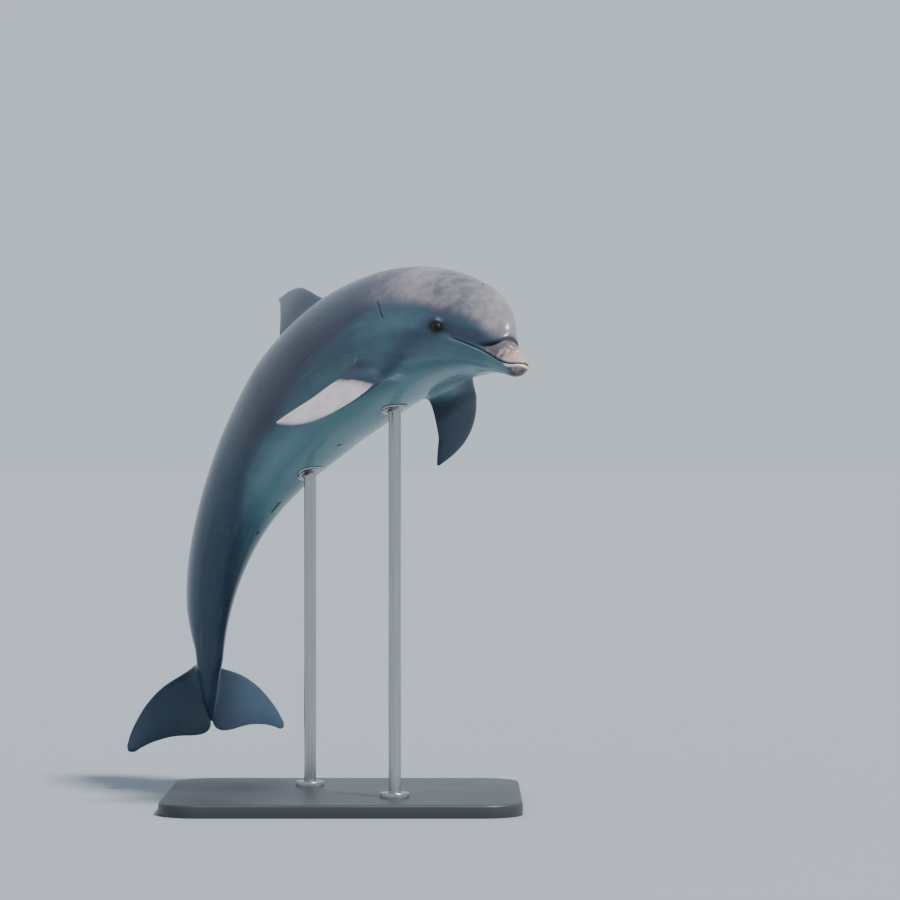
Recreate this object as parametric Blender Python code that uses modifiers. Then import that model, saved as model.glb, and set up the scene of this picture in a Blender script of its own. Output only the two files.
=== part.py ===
"""Bottlenose dolphin, life size, arched as in a leap and held on a display stand.

Metres. Z is up, and the floor is z = 0 under the middle of the base. The body is drawn along its own
axis, from the tip of the beak (0) to the notch of the flukes (1), then bent, so every size below reads
as a share of the body length. Across the body, "side" is positive to the animal's left and "rise" is
positive towards its back.
"""

import math

import bmesh
import bpy
import numpy as np
from mathutils import Matrix, Vector

LENGTH = 2.5  # tip of the beak to the notch of the flukes
GAP = 0.0003  # between neighbouring pieces
FIN_EDGE = 0.0012  # half the thickness that a fin keeps near its back edge
FIN_TIP = 0.003  # how far a fin's rounded tip reaches past its last section

# Station along the body, then as shares of the length: back above the axis, belly below it, half width,
# how far the axis sits above the straight line, and how far the back and the belly narrow to a keel.
BODY = (
    (0.000, 0.0000, 0.0000, 0.0000, -0.0045, 0.0, 0.0),  # tip of the beak
    (0.003, 0.0068, 0.0075, 0.0062, -0.0045, 0.0, 0.0),
    (0.008, 0.0100, 0.0115, 0.0096, -0.0045, 0.0, 0.0),
    (0.020, 0.0142, 0.0150, 0.0138, -0.0040, 0.0, 0.0),
    (0.035, 0.0188, 0.0166, 0.0170, -0.0030, 0.1, 0.0),  # top of the beak, where the melon starts
    (0.042, 0.0265, 0.0168, 0.0186, -0.0028, 0.3, 0.0),
    (0.050, 0.0350, 0.0174, 0.0208, -0.0025, 0.4, 0.0),
    (0.060, 0.0435, 0.0190, 0.0246, -0.0020, 0.35, 0.0),
    (0.080, 0.0556, 0.0228, 0.0330, -0.0010, 0.2, 0.0),  # melon
    (0.100, 0.0642, 0.0280, 0.0412, 0.0, 0.1, 0.0),  # corner of the mouth
    (0.135, 0.0726, 0.0380, 0.0512, 0.0, 0.0, 0.0),  # eye and blowhole
    (0.200, 0.0820, 0.0565, 0.0655, 0.0, 0.0, 0.0),  # neck
    (0.300, 0.0930, 0.0745, 0.0775, 0.0, 0.0, 0.0),  # behind the flippers
    (0.400, 0.0970, 0.0820, 0.0800, 0.0, 0.0, 0.0),  # widest
    (0.500, 0.0930, 0.0770, 0.0740, 0.0, 0.0, 0.0),
    (0.600, 0.0800, 0.0635, 0.0585, 0.0, 0.10, 0.05),
    (0.700, 0.0625, 0.0487, 0.0420, 0.0, 0.25, 0.20),  # vent
    (0.800, 0.0452, 0.0380, 0.0270, 0.0, 0.50, 0.45),
    (0.870, 0.0330, 0.0310, 0.0190, 0.0, 0.60, 0.60),  # tail stock
    (0.920, 0.0225, 0.0212, 0.0150, 0.0, 0.50, 0.50),
    (0.960, 0.0130, 0.0130, 0.0110, 0.0, 0.30, 0.30),
    (1.000, 0.0040, 0.0040, 0.0040, 0.0, 0.0, 0.0),
)

# The pose. At the hub station the animal heads this way; from there the body bends, in degrees for each
# tenth of its length: arch (positive hollows the belly), side (positive hollows the right flank
# towards the tail) and twist.
HUB = 0.45
HUB_AT = Vector((-0.045, 0.080, 1.303))
HEADING, CLIMB, ROLL = -53.5, 26.2, 4.7
BEND = (
    (0.00, 0.0, 0.0, 0.0),
    (0.13, 0.0, 0.0, 0.0),  # the skull doesn't bend
    (0.20, 20.0, 2.4, 5.9),
    (0.30, 10.5, -1.7, 2.6),
    (0.42, 10.5, 0.4, 3.2),
    (0.56, 11.5, 3.3, 3.2),
    (0.72, 15.5, -0.7, 1.4),
    (0.88, 11.3, -4.6, -1.6),
    (1.00, 5.6, -4.2, -2.1),
)


def smooth(table, column, where):
    """A curve through one column of a table that never overshoots its rows."""
    xs = np.array([row[0] for row in table])
    ys = np.array([row[column] for row in table])
    step = np.diff(xs)
    rise = np.diff(ys) / step
    slope = np.concatenate([rise[:1], np.zeros(len(xs) - 2), rise[-1:]])
    for i in range(1, len(xs) - 1):
        if rise[i - 1] * rise[i] > 0:
            before = 2 * step[i] + step[i - 1]
            after = step[i] + 2 * step[i - 1]
            slope[i] = (before + after) / (before / rise[i - 1] + after / rise[i])
    where = np.clip(where, xs[0], xs[-1])
    i = np.clip(np.searchsorted(xs, where, side="right") - 1, 0, len(xs) - 2)
    t = (where - xs[i]) / step[i]
    start = ys[i] * (1 + 2 * t) * (1 - t) ** 2 + slope[i] * step[i] * t * (1 - t) ** 2
    end = ys[i + 1] * t * t * (3 - 2 * t) + slope[i + 1] * step[i] * t * t * (t - 1)
    return start + end


# --- The bent axis -------------------------------------------------------------------------------


def turned(frame, angles):
    """The frame (columns: forward, left, up) after small turns about its own three axes, in radians."""
    size = Vector(angles).length
    if size == 0:
        return frame.copy()
    return frame @ Matrix.Rotation(size, 3, Vector(angles) / size)


def bent_axis(steps=400):
    """Where the axis runs: stations, points and frames from beak to tail."""
    forward = Vector(
        (
            math.cos(math.radians(CLIMB)) * math.cos(math.radians(HEADING)),
            math.cos(math.radians(CLIMB)) * math.sin(math.radians(HEADING)),
            math.sin(math.radians(CLIMB)),
        )
    )
    left = Vector((0, 0, 1)).cross(forward).normalized()
    up = forward.cross(left)
    hub = Matrix((forward, left, up)).transposed() @ Matrix.Rotation(math.radians(-ROLL), 3, "X")
    stations = [i / steps for i in range(steps + 1)]
    middle = round(HUB * steps)
    points, frames = {middle: HUB_AT.copy()}, {middle: hub}
    for toward, last in ((1, steps), (-1, 0)):
        i = middle
        while i != last:
            bends = [smooth(BEND, column, (i + toward / 2) / steps) for column in (1, 2, 3)]
            arch, bow, twist = (toward * math.radians(10 * bend / steps) for bend in bends)
            halfway = turned(frames[i], (twist / 2, -arch / 2, bow / 2))
            points[i + toward] = points[i] - toward * halfway.col[0] * LENGTH / steps
            frames[i + toward] = turned(frames[i], (twist, -arch, bow))
            i += toward
    everywhere = range(steps + 1)
    return stations, [points[i] for i in everywhere], [frames[i] for i in everywhere]


AXIS = bent_axis()


def frame_at(station):
    """The point on the axis and the frame there. Beyond either end the axis runs straight on."""
    stations, points, frames = AXIS
    inside = min(max(station, 0.0), 1.0)
    place = inside * (len(stations) - 1)
    i = min(int(place), len(stations) - 2)
    t = place - i
    point = points[i].lerp(points[i + 1], t)
    forward = frames[i].col[0].lerp(frames[i + 1].col[0], t).normalized()
    left = frames[i].col[1].lerp(frames[i + 1].col[1], t)
    left = (left - forward * left.dot(forward)).normalized()
    return point - forward * (station - inside) * LENGTH, (forward, left, forward.cross(left))


def body_point(station, side, rise):
    """A point given by its station and its offsets from the straight axis, in shares of the length."""
    point, (_, left, up) = frame_at(station)
    return point + left * side * LENGTH + up * rise * LENGTH


def skin_offsets(station, around, grow=0.0):
    """Side and rise of the skin. around is 0 at the left flank, 90 degrees at the back."""
    across, along = math.cos(around), math.sin(around)
    half = float(smooth(BODY, 3, station))
    height, keel = (float(smooth(BODY, c, station)) for c in ((1, 5) if along > 0 else (2, 6)))
    side = (half + grow) * across * abs(across) ** keel
    return side, float(smooth(BODY, 4, station)) + (height + grow) * along


def skin_point(station, around, grow=0.0):
    return body_point(station, *skin_offsets(station, around, grow / LENGTH))


# --- Solids --------------------------------------------------------------------------------------

for leftover in list(bpy.data.objects):
    bpy.data.objects.remove(leftover, do_unlink=True)

MODEL = bpy.data.collections.new("bottlenose_dolphin")
CUTTERS = bpy.data.collections.new("cutters")
for collection in (MODEL, CUTTERS):
    bpy.context.scene.collection.children.link(collection)


def add(name, bm):
    """Makes the mesh in bm an object, and what only cuts others goes with the cutters."""
    mesh = bpy.data.meshes.new(name)
    bm.to_mesh(mesh)
    bm.free()
    obj = bpy.data.objects.new(name, mesh)
    (CUTTERS if name.startswith("cutter") else MODEL).objects.link(obj)
    return obj


def add_solid(name, bm):
    """The same for a closed mesh, in triangles that all face outwards."""
    bmesh.ops.triangulate(bm, faces=bm.faces, quad_method="FIXED")
    bmesh.ops.recalc_face_normals(bm, faces=bm.faces)
    return add(name, bm)


def skinned(name, rings):
    """A solid through closed rings of points. A ring of one point closes an end to a tip, and any other
    end ring is closed flat."""
    bm = bmesh.new()
    rows = [[bm.verts.new(p) for p in ring] for ring in rings]
    for a, b in zip(rows, rows[1:]):
        count = max(len(a), len(b))
        for i in range(count):
            j = (i + 1) % count
            corners = [a[i % len(a)], a[j % len(a)], b[j % len(b)], b[i % len(b)]]
            bm.faces.new([v for k, v in enumerate(corners) if v not in corners[:k]])
    for row in (rows[0], rows[-1]):
        if len(row) > 1:
            bm.faces.new(row)
    return add_solid(name, bm)


def boolean(obj, other, operation="DIFFERENCE"):
    """Cuts obj by other, and leaves other alone."""
    modifier = obj.modifiers.new("cut", "BOOLEAN")
    modifier.operation = operation
    modifier.solver = "EXACT"
    modifier.object = other
    bpy.context.view_layer.update()
    graph = bpy.context.evaluated_depsgraph_get()
    mesh = bpy.data.meshes.new_from_object(obj.evaluated_get(graph))
    obj.modifiers.clear()
    obj.data = mesh


def remove(*objects):
    for obj in objects:
        bpy.data.objects.remove(obj, do_unlink=True)


def pieces(obj):
    """Splits a mesh into its separate bodies, the largest first."""
    whole = bmesh.new()
    whole.from_mesh(obj.data)
    left, found = set(whole.verts), []
    while left:
        queue = [left.pop()]
        body = set(queue)
        while queue:
            for edge in queue.pop().link_edges:
                for v in edge.verts:
                    if v in left:
                        left.discard(v)
                        body.add(v)
                        queue.append(v)
        one = bmesh.new()
        copy = {v: one.verts.new(v.co) for v in body}
        for face in whole.faces:
            if face.verts[0] in body:
                one.faces.new([copy[v] for v in face.verts])
        found.append(one)
    whole.free()
    remove(obj)
    return sorted(found, key=lambda one: -one.calc_volume())


def stations(start, end, count, power=1.0):
    return [start + (end - start) * (k / count) ** power for k in range(count + 1)]


def body_tube(name, along, around=28, grow=0.0):
    """A length of the body through the given stations. It closes to a point at the beak tip, and any
    other end is cut square."""
    rings = []
    for station in along:
        if station <= 0.0:
            rings.append([body_point(-grow / LENGTH, 0, BODY[0][4])])
            continue
        angles = [2 * math.pi * i / around for i in range(around)]
        rings.append([skin_point(station, a, grow) for a in angles])
    return skinned(name, rings)


def cutting_sheet(line, reach=0.3):
    """A sheet as thin as the gap, right across the body, that follows a line of (station, rise) points."""
    flat = [Vector((-s * LENGTH, r * LENGTH)) for s, r in line]
    top, bottom = [], []
    for i, at in enumerate(flat):
        along = flat[min(i + 1, len(flat) - 1)] - flat[max(i - 1, 0)]
        normal = Vector((-along.y, along.x)).normalized() * GAP / 2
        top.append(at + normal)
        bottom.append(at - normal)
    rim = [(-p.x / LENGTH, p.y / LENGTH) for p in top + bottom[::-1]]
    sides = (-reach / LENGTH, reach / LENGTH)
    return skinned("cutter_sheet", [[body_point(s, side, r) for s, r in rim] for side in sides])


def foil(chord_from, chord_to, across, thickness, count):
    """One closed section of a fin: blunt in front, thin behind, and thickest a third of the way back,
    where 1.3 * sqrt(share) * (1 - share) is a half."""
    ring = []
    for k in range(count):
        turn = 2 * math.pi * k / count
        share = (1 - math.cos(turn)) / 2
        half = thickness * 1.3 * math.sqrt(share) * (1 - share) + FIN_EDGE * abs(math.sin(turn))
        ring.append(chord_from.lerp(chord_to, share) + across * math.copysign(half, math.sin(turn)))
    return ring


def fin(name, root, outline, place, count=14, around=18):
    """A fin from its root to its tip. The outline rows are (share of the reach, front edge, back edge,
    thickness), and place gives the middle line and the directions forward and across at a share. The
    root lies inside the body, which is cut away from the fin afterwards."""
    rings = []
    for k in range(count + 1):
        u = root + (1 - root) * math.sin(k / count * math.pi / 2)
        at, forward, across = place(u)
        front, back, thick = (float(smooth(outline, c, u)) for c in (1, 2, 3))
        rings.append(foil(at + forward * front, at + forward * back, across, thick, around))
    tip = sum(rings[-1], Vector()) / len(rings[-1])
    out = (rings[-1][0] - rings[-2][0]).normalized()
    rings.append([tip + out * FIN_TIP])
    return skinned(name, rings)


# --- Head, neck, trunk and tail -----------------------------------------------------------------

HEAD_END, NECK_END, CHEST_END, TRUNK_END, LOIN_END, TAIL_END = 0.165, 0.205, 0.385, 0.58, 0.76, 0.962
CUT = GAP / LENGTH / 2
LENGTHS = {
    "whole_head": stations(0.0, HEAD_END - CUT, 20, 1.4),
    "neck": stations(HEAD_END + CUT, NECK_END - CUT, 4),
    "chest": stations(NECK_END + CUT, CHEST_END - CUT, 12),
    "trunk": stations(CHEST_END + CUT, TRUNK_END - CUT, 12),
    "tail_base": stations(TRUNK_END + CUT, LOIN_END - CUT, 10),
    "tail_stock": stations(LOIN_END + CUT, TAIL_END, 12),
}
lengths = {name: body_tube(name, along) for name, along in LENGTHS.items()}

# The same body a hair larger, to cut whatever joins it.
every = [s for along in LENGTHS.values() for s in along]
grown = body_tube("cutter_body", every[:-1] + [TAIL_END + 4 * CUT], grow=1.5 * GAP)

# The mouth: along the lips from the tip of the beak to the corner, then down behind the jaw.
CORNER = (0.103, 0.0015)
MOUTH = (
    (-0.020, -0.0060),
    (0.000, -0.0060),
    (0.014, -0.0063),
    (0.028, -0.0060),
    (0.048, -0.0033),
    (0.072, -0.0003),
    CORNER,
)
JAW_BACK = ((0.112, -0.006), (0.124, -0.030), (0.135, -0.080))

# The crease where the melon meets the beak, from above the beak down to the lips.
CREASE = (
    (0.0340, 0.0600),
    (0.0375, 0.0185),
    (0.0410, 0.0120),
    (0.0500, 0.0058),
    (0.0620, 0.0030),
    (0.0740, -0.0001),
)

whole = lengths["whole_head"]
for line in (MOUTH + JAW_BACK, CREASE):
    cutter = cutting_sheet(line)
    boolean(whole, cutter)
    remove(cutter)
skull, *jaws = pieces(whole)
jaws.sort(key=lambda one: -sum((v.co for v in one.verts), Vector()).z / len(one.verts))
head = add_solid("head", skull)
add_solid("beak_upper", jaws[0])
add_solid("jaw_lower", jaws[1])

# The eyes: balls in round sockets, low on the sides of the head just behind the corner of the mouth.
EYE_AT, EYE_RADIUS, EYE_PROUD = 0.1328, 0.0155, 0.0052
for name, around in (("eye_left", math.asin(0.11)), ("eye_right", math.pi - math.asin(0.11))):
    lid = skin_point(EYE_AT, around)
    inward = (frame_at(EYE_AT)[0] - lid).normalized()
    middle = lid + inward * (EYE_RADIUS - EYE_PROUD)
    for label, radius in (("cutter_socket", EYE_RADIUS + GAP), (name, EYE_RADIUS)):
        bm = bmesh.new()
        bmesh.ops.create_uvsphere(bm, u_segments=14, v_segments=8, radius=radius)
        turn = inward.to_track_quat("Z", "Y").to_matrix().to_4x4()
        bmesh.ops.transform(bm, matrix=Matrix.Translation(middle) @ turn, verts=bm.verts)
        ball = add_solid(label, bm)
        if label == "cutter_socket":
            boolean(head, ball)
            remove(ball)

# --- Fins ---------------------------------------------------------------------------------------

# Dorsal fin: in the middle of the back, hooked, its tip bent over to the right.
DORSAL_AT, DORSAL_HEIGHT, DORSAL_LEAN, DORSAL_CURL = 0.483, 0.240, 5.5, -0.055
DORSAL = (
    (-0.25, 0.235, -0.160, 0.044),
    (0.00, 0.200, -0.135, 0.038),
    (0.25, 0.132, -0.120, 0.027),
    (0.50, 0.072, -0.117, 0.020),
    (0.75, 0.003, -0.130, 0.014),
    (0.92, -0.072, -0.149, 0.009),
    (1.00, -0.140, -0.165, 0.005),
)


def dorsal_place(u):
    _, (forward, left, up) = frame_at(DORSAL_AT)
    base = skin_point(DORSAL_AT, math.pi / 2)
    lean = math.radians(DORSAL_LEAN)
    out = up * math.cos(lean) + left * math.sin(lean)
    across = forward.cross(out)
    return base + out * DORSAL_HEIGHT * u + across * DORSAL_CURL * u * abs(u), forward, across


boolean(fin("dorsal_fin", DORSAL[0][0], DORSAL, dorsal_place), grown)

# Flippers: low behind the head, swept back and hanging. The root lies along the flank and the blade
# turns to its own angle on the way out.
FLIPPER_AT, FLIPPER_AROUND, FLIPPER_REACH = 0.245, -44.0, 0.340
FLIPPER_TURNED = 0.45  # share of the reach by which the blade has its own angle
FLIPPER = (
    (-0.25, 0.076, -0.088, 0.046),
    (0.00, 0.068, -0.076, 0.034),
    (0.20, 0.070, -0.072, 0.026),
    (0.40, 0.065, -0.069, 0.021),
    (0.60, 0.046, -0.069, 0.016),
    (0.80, 0.008, -0.080, 0.011),
    (0.93, -0.037, -0.087, 0.007),
    (1.00, -0.078, -0.091, 0.005),
)
# side, sweep back, droop, feather at the root and of the blade (positive drops the front edge), curl
FLIPPERS = {
    "flipper_left": (1, 35.0, 39.0, -34.0, -51.0, -0.005),
    "flipper_right": (-1, 20.0, 43.0, 18.0, 22.0, 0.031),
}


def flipper_place(side, sweep, droop, feather_root, feather, curl):
    around = math.radians(FLIPPER_AROUND)
    base = skin_point(FLIPPER_AT, around if side > 0 else math.pi - around)
    _, (forward, left, up) = frame_at(FLIPPER_AT)
    down = left * side * math.cos(math.radians(droop)) - up * math.sin(math.radians(droop))
    out = down * math.cos(math.radians(sweep)) - forward * math.sin(math.radians(sweep))
    chord = (forward - out * forward.dot(out)).normalized()
    normal = out.cross(chord) * side

    def place(u):
        share = min(max(u / FLIPPER_TURNED, 0.0), 1.0)
        turn = math.radians(feather_root + (feather - feather_root) * share * share * (3 - 2 * share))
        ahead = chord * math.cos(turn) + normal * math.sin(turn)
        across = out.cross(ahead) * side
        return base + out * FLIPPER_REACH * u + across * curl * u * abs(u), ahead, across

    return place


for name, pose in FLIPPERS.items():
    boolean(fin(name, FLIPPER[0][0], FLIPPER, flipper_place(*pose)), grown)

# Flukes: two level lobes at the end of the tail, with a notch between them.
FLUKE_SPAN, FLUKE_CURL = 0.304, 0.042
FLUKE_TILT = (-1.9, 3.4, -8.2)  # about the tail's own length, up and left axes
FLUKE = (
    (0.00, 0.234, 0.004, 0.046),
    (0.06, 0.222, -0.010, 0.040),
    (0.15, 0.204, -0.014, 0.031),
    (0.30, 0.186, -0.008, 0.024),
    (0.50, 0.159, -0.004, 0.018),
    (0.70, 0.115, -0.011, 0.013),
    (0.90, 0.045, -0.027, 0.008),
    (1.00, -0.030, -0.043, 0.005),
)


def fluke_place(side):
    point, (forward, left, up) = frame_at(1.0)
    turn = Matrix.Rotation(math.radians(FLUKE_TILT[0]), 3, forward)
    turn = turn @ Matrix.Rotation(math.radians(FLUKE_TILT[1]), 3, up)
    turn = turn @ Matrix.Rotation(math.radians(FLUKE_TILT[2]), 3, left)
    forward, left, up = turn @ forward, turn @ left, turn @ up

    def place(u):
        return point + left * side * (GAP / 2 + FLUKE_SPAN * u) + up * FLUKE_CURL * u * u, forward, up

    return place


for name, side in (("fluke_left", 1), ("fluke_right", -1)):
    boolean(fin(name, FLUKE[0][0], FLUKE, fluke_place(side)), grown)

# --- Stand --------------------------------------------------------------------------------------

BASE_X, BASE_Y, BASE_Z = 1.10, 0.90, 0.040
BASE_CORNER, BASE_RIM = 0.12, 0.008
ROD_RADIUS, COLLAR_RADIUS, COLLAR_HEIGHT, COLLAR_EDGE = 0.019, 0.045, 0.016, 0.004
RODS = {"front": 0.30, "rear": 0.50}  # the stations that the rods hold

bm = bmesh.new()
bmesh.ops.create_cube(bm, size=1.0)
bmesh.ops.scale(bm, vec=(BASE_X, BASE_Y, BASE_Z), verts=bm.verts)
bmesh.ops.translate(bm, vec=(0, 0, BASE_Z / 2), verts=bm.verts)
upright = [e for e in bm.edges if abs(e.verts[0].co.z - e.verts[1].co.z) > BASE_Z / 2]
bmesh.ops.bevel(bm, geom=upright, offset=BASE_CORNER, segments=8, affect="EDGES", profile=0.5)
top = max(bm.faces, key=lambda face: face.calc_center_median().z)
bmesh.ops.bevel(bm, geom=list(top.edges), offset=BASE_RIM, segments=2, affect="EDGES", profile=0.5)
add_solid("stand_base", bm)


def turned_post(name, x, y, profile, steps=24):
    """A solid of revolution about an upright line. The profile is (radius, height) pairs that run from
    the top of the line, down the outer side, back to the line."""
    bm = bmesh.new()
    line = [bm.verts.new((radius, 0, height)) for radius, height in profile]
    for a, b in zip(line, line[1:]):
        bm.edges.new((a, b))
    post = add(name, bm)
    post.location = (x, y, 0)
    screw = post.modifiers.new("turned", "SCREW")
    screw.steps = screw.render_steps = steps
    screw.use_merge_vertices = True
    screw.merge_threshold = 0.00001
    return post


for end, station in RODS.items():
    held = frame_at(station)[0]
    foot = BASE_Z + GAP
    shoulder = foot + COLLAR_HEIGHT
    collar = (
        (0, shoulder),
        (COLLAR_RADIUS - COLLAR_EDGE, shoulder),
        (COLLAR_RADIUS, shoulder - COLLAR_EDGE),
        (COLLAR_RADIUS, foot),
        (0, foot),
    )
    turned_post(f"stand_collar_{end}", held.x, held.y, collar)
    seat = shoulder + GAP
    rod = ((0, held.z), (ROD_RADIUS, held.z), (ROD_RADIUS, seat), (0, seat))
    boolean(turned_post(f"stand_rod_{end}", held.x, held.y, rod), grown)

remove(grown)

# --- Finishes and grouping ----------------------------------------------------------------------

FINISHES = {  # colour, roughness, metallic, and the pieces that have it
    "skin": ((0.19, 0.21, 0.24), 0.25, 0.0, ("head", "neck", "chest", "trunk", "tail_base", "tail_stock")),
    "fins": ((0.13, 0.14, 0.16), 0.25, 0.0, ("dorsal_fin", *FLIPPERS, "fluke_left", "fluke_right")),
    "beak": ((0.33, 0.29, 0.29), 0.35, 0.0, ("beak_upper",)),
    "throat": ((0.42, 0.46, 0.47), 0.25, 0.0, ("jaw_lower",)),
    "eye": ((0.02, 0.015, 0.015), 0.05, 0.0, ("eye_left", "eye_right")),
    "stand_base": ((0.05, 0.05, 0.055), 0.45, 0.0, ("stand_base",)),
    "stand_rods": (
        (0.60, 0.60, 0.61),
        0.3,
        1.0,
        ("stand_collar_front", "stand_collar_rear", "stand_rod_front", "stand_rod_rear"),
    ),
}

holders = {}
for label in ("dolphin", "stand"):
    holders[label] = bpy.data.objects.new(label, None)
    MODEL.objects.link(holders[label])

for finish, (colour, roughness, metallic, names) in FINISHES.items():
    material = bpy.data.materials.new(finish)
    material.use_nodes = True
    shader = material.node_tree.nodes["Principled BSDF"]
    shader.inputs["Base Color"].default_value = (*colour, 1.0)
    shader.inputs["Roughness"].default_value = roughness
    shader.inputs["Metallic"].default_value = metallic
    for name in names:
        piece = bpy.data.objects[name]
        piece.data.materials.clear()
        piece.data.materials.append(material)
        piece.parent = holders["stand" if name.startswith("stand_") else "dolphin"]
        if not piece.modifiers:
            piece.data.shade_smooth()
            piece.data.set_sharp_from_angle(angle=math.radians(35))
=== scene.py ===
# %% [markdown]
# # A bottlenose dolphin on a display stand
#
# The solids of the animal and its stand are already built and packed, and this script dresses them.
# It loads them as a fixed frame, draws one unbroken skin over the animal's thirteen solids of flesh, sets
# real eyes in their sockets, finishes the stand, and lights it all softly. We keep the box round the solids
# as it is before anything is added, so that the size can be compared at the end.

# %% Load the frame
import math

import bmesh
import bpy
import numpy as np
from mathutils import Matrix, Vector
from mathutils.bvhtree import BVHTree


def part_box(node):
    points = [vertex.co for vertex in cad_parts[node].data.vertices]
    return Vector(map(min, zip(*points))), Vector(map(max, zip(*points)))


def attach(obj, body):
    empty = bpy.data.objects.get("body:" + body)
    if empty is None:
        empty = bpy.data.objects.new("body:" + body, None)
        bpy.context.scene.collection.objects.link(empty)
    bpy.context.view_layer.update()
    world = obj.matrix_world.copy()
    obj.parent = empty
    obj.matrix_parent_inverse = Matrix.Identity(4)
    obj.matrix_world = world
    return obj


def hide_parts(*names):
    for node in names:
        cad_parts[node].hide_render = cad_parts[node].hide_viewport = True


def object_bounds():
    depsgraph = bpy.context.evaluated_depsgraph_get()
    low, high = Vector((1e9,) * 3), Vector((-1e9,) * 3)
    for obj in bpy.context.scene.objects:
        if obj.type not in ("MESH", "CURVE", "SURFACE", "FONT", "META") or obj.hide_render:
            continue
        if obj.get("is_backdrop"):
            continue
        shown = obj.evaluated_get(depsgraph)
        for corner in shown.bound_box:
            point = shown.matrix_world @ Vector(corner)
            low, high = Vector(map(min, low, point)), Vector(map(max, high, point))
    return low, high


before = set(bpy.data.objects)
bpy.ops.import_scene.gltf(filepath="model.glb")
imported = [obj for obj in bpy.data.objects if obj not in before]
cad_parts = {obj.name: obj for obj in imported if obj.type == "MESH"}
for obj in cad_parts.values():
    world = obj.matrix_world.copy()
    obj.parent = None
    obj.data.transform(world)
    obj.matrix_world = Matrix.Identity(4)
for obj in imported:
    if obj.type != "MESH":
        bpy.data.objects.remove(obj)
solid_low, solid_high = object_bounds()
print("solids:", sorted(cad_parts))

# %% [markdown]
# ## The camera and the room
#
# A long lens from eleven metres away flattens the view, as a telephoto picture of a leaping animal
# does. The camera looks level, so a camera turned a quarter turn about X is all it takes. The room is
# only a wide pale floor. It could be a curved studio sweep, but the model is looked at from every side,
# and a wall would get in the way.

# %% Camera
EYE_POINT = Vector((0.330, -11.06, 1.100))
LENS_MM = 142.3

camera = bpy.data.objects.new("camera", bpy.data.cameras.new("camera"))
bpy.context.scene.collection.objects.link(camera)
camera.location = EYE_POINT
camera.rotation_euler = (math.radians(90), 0, 0)
camera.data.lens = LENS_MM
camera.data.sensor_width = 36
camera.data.clip_end = 400
bpy.context.scene.camera = camera
print("camera", tuple(round(c, 2) for c in camera.location))

# %% [markdown]
# ## Shader maths that reads like maths
#
# A pattern is an expression: this noise, times that, clipped between two values. Wiring such a thing
# node by node hides what it does, so one small class wraps a socket and makes +, -, * and / add Math
# nodes. Every other kind of node comes from the one method `node`.

# %% A socket that can be calculated with
class Value:
    """One number or colour that changes over the surface."""

    def __init__(self, tree, socket):
        self.tree, self.socket = tree, socket

    def node(self, kind, settings=(), output=0, **inputs):
        """Adds any node: its settings first, then its sockets by name or, with i in front, by number."""
        made = self.tree.nodes.new("ShaderNode" + kind)
        for name, setting in dict(settings).items():
            if name == "stops":
                ramp = made.color_ramp
                while len(ramp.elements) < len(setting):
                    ramp.elements.new(0.5)
                for stop, (place, colour) in zip(ramp.elements, setting):
                    stop.position = place
                    stop.color = (*colour, 1.0)
            else:
                setattr(made, name, setting)
        for name, value in inputs.items():
            key = int(name[1:]) if name[1:].isdigit() else name.replace("_", " ")
            socket = made.inputs[key]
            if isinstance(value, Value):
                self.tree.links.new(value.socket, socket)
            else:
                socket.default_value = value
        return Value(self.tree, made.outputs[output])

    def math(self, operation, other=0.0, flip=False):
        first, second = (other, self) if flip else (self, other)
        return self.node("Math", {"operation": operation}, i0=first, i1=second)

    def __add__(self, other):
        return self.math("ADD", other)

    __radd__ = __add__

    def __mul__(self, other):
        return self.math("MULTIPLY", other)

    __rmul__ = __mul__

    def __sub__(self, other):
        return self.math("SUBTRACT", other)

    def __rsub__(self, other):
        return self.math("SUBTRACT", other, flip=True)

    def between(self, low, high):
        """0 below low, 1 above high, and smooth between."""
        return self.node(
            "MapRange",
            {"interpolation_type": "SMOOTHSTEP"},
            Value=self,
            From_Min=low,
            From_Max=high,
        )

    def mix(self, one, other):
        """The colour one where this is 0, and other where it is 1."""
        return self.node("Mix", {"data_type": "RGBA"}, output=2, i0=self, i6=one, i7=other)


print("shader maths ready")

# %% [markdown]
# A finish is a Principled shader. Whatever is the same all over is set on the shader's own sockets, and
# what changes over the surface is linked to it.

# %% A new finish
def finish(name, **constants):
    """A material, its shader, and a Value to start expressions from."""
    material = bpy.data.materials.new(name)
    material.use_nodes = True
    tree = material.node_tree
    shader = tree.nodes["Principled BSDF"]
    for label, constant in constants.items():
        shader.inputs[label.replace("_", " ")].default_value = constant
    place = Value(tree, tree.nodes.new("ShaderNodeTexCoord").outputs["Object"])
    return material, shader, place


def paint(shader, **links):
    """Links what varies to the shader's sockets."""
    for label, value in links.items():
        value.tree.links.new(value.socket, shader.inputs[label.replace("_", " ")])


def noise(place, scale, detail=2.0, roughness=0.5, stretch=None):
    """A soft random pattern from 0 to 1, about 1/scale metres across."""
    if stretch is not None:
        place = place.node("Mapping", Vector=place, Scale=stretch)
    return place.node("TexNoise", Vector=place, Scale=scale, Detail=detail, Roughness=roughness)


def bumped(height, distance, strength=1.0):
    """A normal that makes height, from 0 to 1, stand up by distance in metres."""
    return height.node("Bump", Height=height, Distance=distance, Strength=strength)


print("finish helpers ready")

# %% [markdown]
# ## How a dolphin's body is measured
#
# The body is drawn along its own axis, from the tip of the beak (0) to the notch of the flukes (1), and
# then bent. The solids were drawn in the same way from a plainer table, so the skin lies within a few
# millimetres of them, apart from the back of the tail, where it stands up to 35 mm higher. Each row is a
# station, then shares of the length: back above the axis, belly below it, half width, how far the axis
# is raised, and how much the back and the belly narrow to a keel.

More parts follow.
